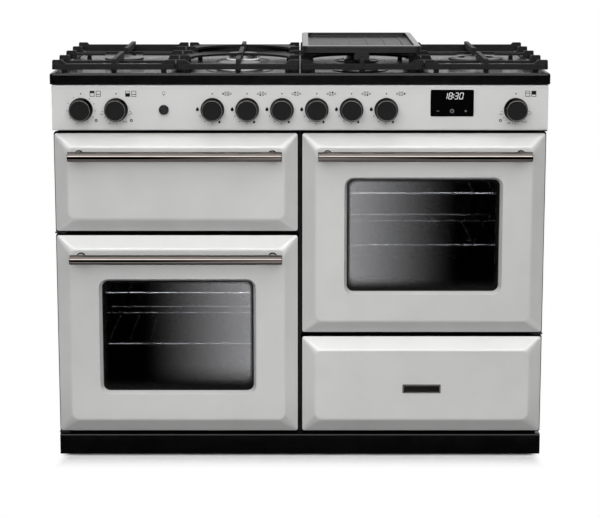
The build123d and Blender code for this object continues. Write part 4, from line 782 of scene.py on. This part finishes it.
def rounded_outline(low, high, radius, steps=12):
    """A rounded rectangle between two corners: a quarter circle round each corner in turn."""
    corner = np.repeat(np.arange(4), steps)
    turn = (corner + np.tile(np.linspace(0, 1, steps), 4)) * np.pi / 2
    middle_x = np.where((corner == 0) | (corner == 3), high[0] - radius, low[0] + radius)
    middle_z = np.where(corner < 2, high[1] - radius, low[1] + radius)
    return np.stack([middle_x + radius * np.cos(turn), middle_z + radius * np.sin(turn)], 1)


def window_edge_shade(side, material, rows=10):
    """Points (1 - s)·outer + s·inner for s from 0 to 1, with 1 - s kept as the ink on each point."""
    middle = np.array(centre_of(f"{side}_door_glazing"))
    low, high = middle - WINDOW_HALF, middle + WINDOW_HALF
    outer = rounded_outline(low, high, WINDOW_RADIUS)
    inner = rounded_outline(low + (FADE_SIDE, FADE_BOTTOM), high - (FADE_SIDE, FADE_TOP), WINDOW_RADIUS)
    s = np.linspace(0, 1, rows)[:, None, None]
    flat = ((1 - s) * outer + s * inner) * MM
    depth = np.full(flat.shape[:2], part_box(f"{side}_door_glazing")[0].y - PANE_GAP)
    mesh = grid_mesh(f"{side}_window_edge_shade", np.stack([flat[:, :, 0], depth, flat[:, :, 1]], 2), material)
    ink = mesh.attributes.new("ink", "FLOAT", "POINT")
    ink.data.foreach_set("value", np.repeat(1 - s[:, 0, 0], len(outer)))
    return add_piece(f"{side}_window_edge_shade", mesh, f"{side}_door")


def faded_edge_shade_print():
    """Matt black ink, painted shade at the pane's edge, whose cover follows the ink kept on the mesh."""
    # Near-black and matt: painted shade that hides the pane's reflection at its edge.
    material = printed_ink("black_edge_shade_print", "#050505")
    tree = material.node_tree
    ink = add_node(tree, "Attribute", attribute_name="ink").outputs["Fac"]
    add_node(tree, "MapRange", [ink, 0.0, 1.0, 0.0, INK_COVER], tree.nodes["Principled BSDF"].inputs["Alpha"],
             interpolation_type="SMOOTHSTEP")
    return material


edge_shade = faded_edge_shade_print()
borders = [window_edge_shade(side, edge_shade) for side in ("left", "right")]
print("made", len(borders), "window borders of", len(borders[0].data.polygons), "faces")

# %% [markdown]
# A product studio lights a pale appliance with large soft sources. A softbox in front and above is the key,
# light bounced off the ceiling makes the upper bevels bright and leaves the lower ones darker, and a low fill
# behind the camera opens the shadows of the knobs and handles. One more soft light stands behind, for the
# back panel. None of them shows in mirrors, because the surroundings made below take care of reflections.

# %% Studio lights
FRONT_AIM, BACK_AIM = (0, -0.28, 0.5), (0, 0.3, 0.5)
STUDIO = {"key_softbox": ((-0.3, -4.3, 2.5), FRONT_AIM, (4.2, 2.2), 68),
          "ceiling_bounce": ((0, -1.6, 3.4), FRONT_AIM, (5.0, 2.6), 70),
          "front_fill": ((0, -5.2, 0.9), FRONT_AIM, (4.0, 2.0), 58),
          "back_fill": ((0.6, 4.6, 1.9), BACK_AIM, (4.0, 2.2), 110)}     # place, aim, metres, watts


def area_light(name, place, aim, size, power):
    """A rectangular lamp at a place, turned towards its aim."""
    light = bpy.data.lights.new(name, "AREA")
    light.shape = "RECTANGLE"
    light.size, light.size_y = size
    light.energy = power
    lamp = bpy.data.objects.new(name, light)
    lamp.location = place
    lamp.rotation_euler = (Vector(aim) - Vector(place)).to_track_quat("-Z", "Y").to_euler()
    bpy.context.scene.collection.objects.link(lamp)
    return lamp


for name, setting in STUDIO.items():
    area_light(name, *setting).visible_glossy = False
print("lights:", ", ".join(STUDIO))

# %% [markdown]
# The world is white to the camera and through the glass, and dim as a light. Light Path tells which kind of
# ray is asking.

# %% White background
WORLD_LIGHT = 0.2
world = bpy.data.worlds.new("white_studio")
bpy.context.scene.world = world
world.use_nodes = True
background = world.node_tree.nodes["Background"].inputs
path = add_node(world.node_tree, "LightPath").outputs
seen = add_node(world.node_tree, "Math", [path["Is Camera Ray"], path["Is Transmission Ray"]],
                operation="MAXIMUM")
add_node(world.node_tree, "MapRange", [seen, 0.0, 1.0, WORLD_LIGHT, 1.0], background["Strength"])
background["Color"].default_value = linear("#FFFFFF")
print("the world gives", WORLD_LIGHT, "as a light")

# %% [markdown]
# Shiny metal, glass and enamel show the room more than their own colour. In a product studio the room in
# front of the object is dark up to the lit face of the softbox, the ceiling is bright and the backdrop behind
# is white. A half dome that only reflections can see stands in for that room. Its brightness follows the
# height in front, with a band where the softbox hangs, and turns white behind.

# %% Surroundings for the reflections
DOME = 14.0                             # radius in metres; the ranges below are shares of it
CEILING_FROM, CEILING_LEVELS = (0.5, 0.66), (0.015, 2.3)
SOFTBOX_FROM, SOFTBOX_TO, SOFTBOX_LEVEL = (0.25, 0.3), (0.55, 0.61), 10.0
SOFTBOX_ASIDE, SOFTBOX_AHEAD = (0.42, 0.6), (-0.45, -0.3)
BACKDROP_BEHIND, BACKDROP_RISE, BACKDROP_LEVELS = (-0.1, 0.3), (0.05, 0.3), (0.6, 1.0)


def studio_surroundings():
    """Strength of the glow: the larger of ceiling + softbox in front and of the backdrop behind."""
    material, tree, _, place = new_material("studio_surroundings")
    share = add_node(tree, "Mapping", {"Vector": place, "Scale": (1 / DOME, 1 / DOME, 1 / DOME)})
    part = add_node(tree, "SeparateXYZ", [share])
    x, y, rise = (part.outputs[axis] for axis in "XYZ")
    soft = {"interpolation_type": "SMOOTHSTEP"}
    aside = add_node(tree, "Math", [x], operation="ABSOLUTE")
    ceiling = add_node(tree, "MapRange", [rise, *CEILING_FROM, *CEILING_LEVELS], **soft)
    lower = add_node(tree, "MapRange", [rise, *SOFTBOX_FROM, 0.0, 1.0], **soft)
    upper = add_node(tree, "MapRange", [rise, *SOFTBOX_TO, SOFTBOX_LEVEL, 0.0], **soft)
    across = add_node(tree, "MapRange", [aside, *SOFTBOX_ASIDE, 1.0, 0.0], **soft)
    ahead = add_node(tree, "MapRange", [y, *SOFTBOX_AHEAD, 1.0, 0.0], **soft)
    band = add_node(tree, "Math", [lower, upper], operation="MULTIPLY")
    face = add_node(tree, "Math", [across, ahead], operation="MULTIPLY")
    front = add_node(tree, "Math", [band, face, ceiling], operation="MULTIPLY_ADD")
    behind = add_node(tree, "MapRange", [y, *BACKDROP_BEHIND, 0.0, 1.0], **soft)
    height = add_node(tree, "MapRange", [rise, *BACKDROP_RISE, *BACKDROP_LEVELS], **soft)
    backdrop = add_node(tree, "Math", [behind, height], operation="MULTIPLY")
    level = add_node(tree, "Math", [front, backdrop], operation="MAXIMUM")
    add_node(tree, "Emission", {"Strength": level}, tree.nodes["Material Output"].inputs["Surface"])
    return material


def studio_dome(rows=24, columns=48):
    """A half sphere on a grid of height angle by compass angle."""
    up = np.linspace(0, np.pi / 2, rows)[:, None]
    turn = np.linspace(0, 2 * np.pi, columns, endpoint=False)[None, :]
    points = np.stack([np.cos(up) * np.cos(turn), np.cos(up) * np.sin(turn), np.sin(up) + 0 * turn], 2) * DOME
    dome = bpy.data.objects.new("studio_dome", grid_mesh("studio_dome", points, studio_surroundings()))
    bpy.context.scene.collection.objects.link(dome)
    dome.visible_camera = dome.visible_diffuse = dome.visible_transmission = dome.visible_shadow = False
    return dome


studio_dome()
print("dome radius", DOME, "m")

# %% [markdown]
# In reflections the floor is dark, with a long white card on it, narrow at the cooker and wider towards the
# camera, which gives the oven windows their soft grey sheen near the middle of the cooker. A pale strip close
# to the cooker puts the thin lower line on the handles. Their edges are soft steps along the floor, measured
# in metres ahead of the doors.

# %% Floor in the reflections
DISTANCE = 3.9                          # camera to the door faces
CARD_SLOPE = (-0.0115, 0.091)           # sideways slope of the card where it starts to fade and where it ends
CARD_START, CARD_END, CARD_LEVEL = (0.5, 0.8), (4.3, 6.0), 2.15
STRIP_START, STRIP_END, STRIP_LEVEL = (0.2, 0.3), (0.45, 0.52), 2.8
door_face = skin_low.y


def mirrored_floor(tree, y, aside, ahead):
    """Glow of the card, by sideways slope and by distance ahead, plus the glow of the strip."""
    soft = {"interpolation_type": "SMOOTHSTEP"}
    depth = add_node(tree, "Math", [door_face + DISTANCE, y], operation="SUBTRACT")
    slope = add_node(tree, "Math", [aside, depth], operation="DIVIDE")
    middle = add_node(tree, "MapRange", [slope, *CARD_SLOPE, CARD_LEVEL, 0.0], **soft)
    start = add_node(tree, "MapRange", [ahead, *CARD_START, 0.0, 1.0], **soft)
    end = add_node(tree, "MapRange", [ahead, *CARD_END, 1.0, 0.0], **soft)
    length = add_node(tree, "Math", [start, end], operation="MULTIPLY")
    near = add_node(tree, "MapRange", [ahead, *STRIP_START, 0.0, 1.0], **soft)
    far = add_node(tree, "MapRange", [ahead, *STRIP_END, STRIP_LEVEL, 0.0], **soft)
    strip = add_node(tree, "Math", [near, far], operation="MULTIPLY")
    level = add_node(tree, "Math", [middle, length, strip], operation="MULTIPLY_ADD")
    return add_node(tree, "Emission", {"Strength": level})


print("the card ends", CARD_END[1], "m ahead of the doors")

# %% [markdown]
# To the camera the floor is white past the contact shadow, and the shadow stays close to the cooker. Light
# that bounces off the floor is dimmed, so the undersides of the cooker stay dark. Light Path chooses between
# the three floors by the kind of ray.

# %% Floor
FLOOR_HALF = 30.0
SHADOW_REACH = 0.09                     # the contact shadow fades out this far from the cooker
SIDE_INSET, SIDE_STEEPNESS = 0.03, 3.0  # at the sides it starts under the cooker and fades faster
back_corner = Vector(cad_box[1])        # right, back and top of the cooker


def pale_floor():
    """Camera rays see white outside the shadow, diffuse rays a dim floor, mirrors the card and the strip."""
    material, tree, shader, place = new_material("pale_floor")
    shader.inputs["Base Color"].default_value = linear("#F2F2F2")
    shader.inputs["Roughness"].default_value = 0.7
    shader.inputs["Specular IOR Level"].default_value = 0.1
    ray = add_node(tree, "LightPath").outputs
    part = add_node(tree, "SeparateXYZ", [place]).outputs
    aside = add_node(tree, "Math", [part["X"]], operation="ABSOLUTE")
    ahead = add_node(tree, "Math", [door_face, part["Y"]], operation="SUBTRACT")
    outside = add_node(tree, "Math", [aside, back_corner.x - SIDE_INSET], operation="SUBTRACT")
    beside = add_node(tree, "Math", [outside, SIDE_STEEPNESS], operation="MULTIPLY")
    beyond = add_node(tree, "Math", [part["Y"], back_corner.y], operation="SUBTRACT")
    around_it = add_node(tree, "Math", [beside, beyond], operation="MAXIMUM")
    apart = add_node(tree, "Math", [around_it, ahead], operation="MAXIMUM")
    clear = add_node(tree, "MapRange", [apart, 0.0, SHADOW_REACH, 0.0, 1.0], interpolation_type="SMOOTHSTEP")
    seen = add_node(tree, "Math", [clear, ray["Is Camera Ray"]], operation="MULTIPLY")
    white = add_node(tree, "Emission", {"Strength": 1.0})
    ground = add_node(tree, "MixShader", [seen, shader, white])
    dim = add_node(tree, "BsdfDiffuse", {"Color": linear("#7A7A7A")})
    bounce = add_node(tree, "MixShader", [ray["Is Diffuse Ray"], ground, dim])
    mirrored = mirrored_floor(tree, part["Y"], aside, ahead)
    add_node(tree, "MixShader", [ray["Is Glossy Ray"], bounce, mirrored],
             tree.nodes["Material Output"].inputs["Surface"])
    return material


corners = [(-FLOOR_HALF, -FLOOR_HALF, 0), (FLOOR_HALF, -FLOOR_HALF, 0), (FLOOR_HALF, FLOOR_HALF, 0),
           (-FLOOR_HALF, FLOOR_HALF, 0)]
floor_mesh = bpy.data.meshes.new("studio_floor")
floor_mesh.from_pydata(corners, [], [(0, 1, 2, 3)])
floor_mesh.materials.append(pale_floor())
floor = bpy.data.objects.new("studio_floor", floor_mesh)
bpy.context.scene.collection.objects.link(floor)
print("floor", 2 * FLOOR_HALF, "m across")

# %% [markdown]
# The oven lamps are on. Each is a short strip light under the oven's roof, just behind the door, which picks
# out the chromed shelf wires against the dark enamel.

# %% Oven lamps
LAMP_BEHIND, LAMP_DROP, LAMP_LEAN = 0.05, 0.035, 0.03
LAMP_SIZE, LAMP_POWER = (0.4, 0.02), 0.8
for side in ("left", "right"):
    oven_low, oven_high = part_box(f"{side}_oven_cavity")
    spot = ((oven_low.x + oven_high.x) / 2, oven_low.y + LAMP_BEHIND, oven_high.z - LAMP_DROP)
    oven_floor = (spot[0], spot[1] + LAMP_LEAN, oven_low.z)
    area_light(f"{side}_oven_strip", spot, oven_floor, LAMP_SIZE, LAMP_POWER)
print("oven lamps:", LAMP_POWER, "W each")

# %% [markdown]
# The camera stands straight in front of the cooker and a little above the hob, so the doors stay square and
# the hob shows as a thin strip. It looks down slightly. A small shift of the lens lets it tilt less than it
# would have to without one, so the uprights stay nearly parallel.

# %% Camera
PHOTO_WIDTH = 600             # pixels
FOCAL_PX = 1783.0             # focal length in those pixels
EYE_HEIGHT = 1.253
SHIFT = -0.095
TILT = math.radians(9.66)

camera = bpy.data.cameras.new("camera")
camera.sensor_width = 36.0
camera.lens = FOCAL_PX / PHOTO_WIDTH * camera.sensor_width
camera.shift_y = SHIFT
camera.clip_end = 100.0
eye = bpy.data.objects.new("camera", camera)
eye.location = (0.0, door_face - DISTANCE, EYE_HEIGHT)
eye.rotation_euler = (math.pi / 2 - TILT, 0.0, 0.0)
bpy.context.scene.collection.objects.link(eye)
bpy.context.scene.camera = eye
bpy.context.scene.view_settings.view_transform = "Standard"
print("lens", round(camera.lens, 1), "mm")
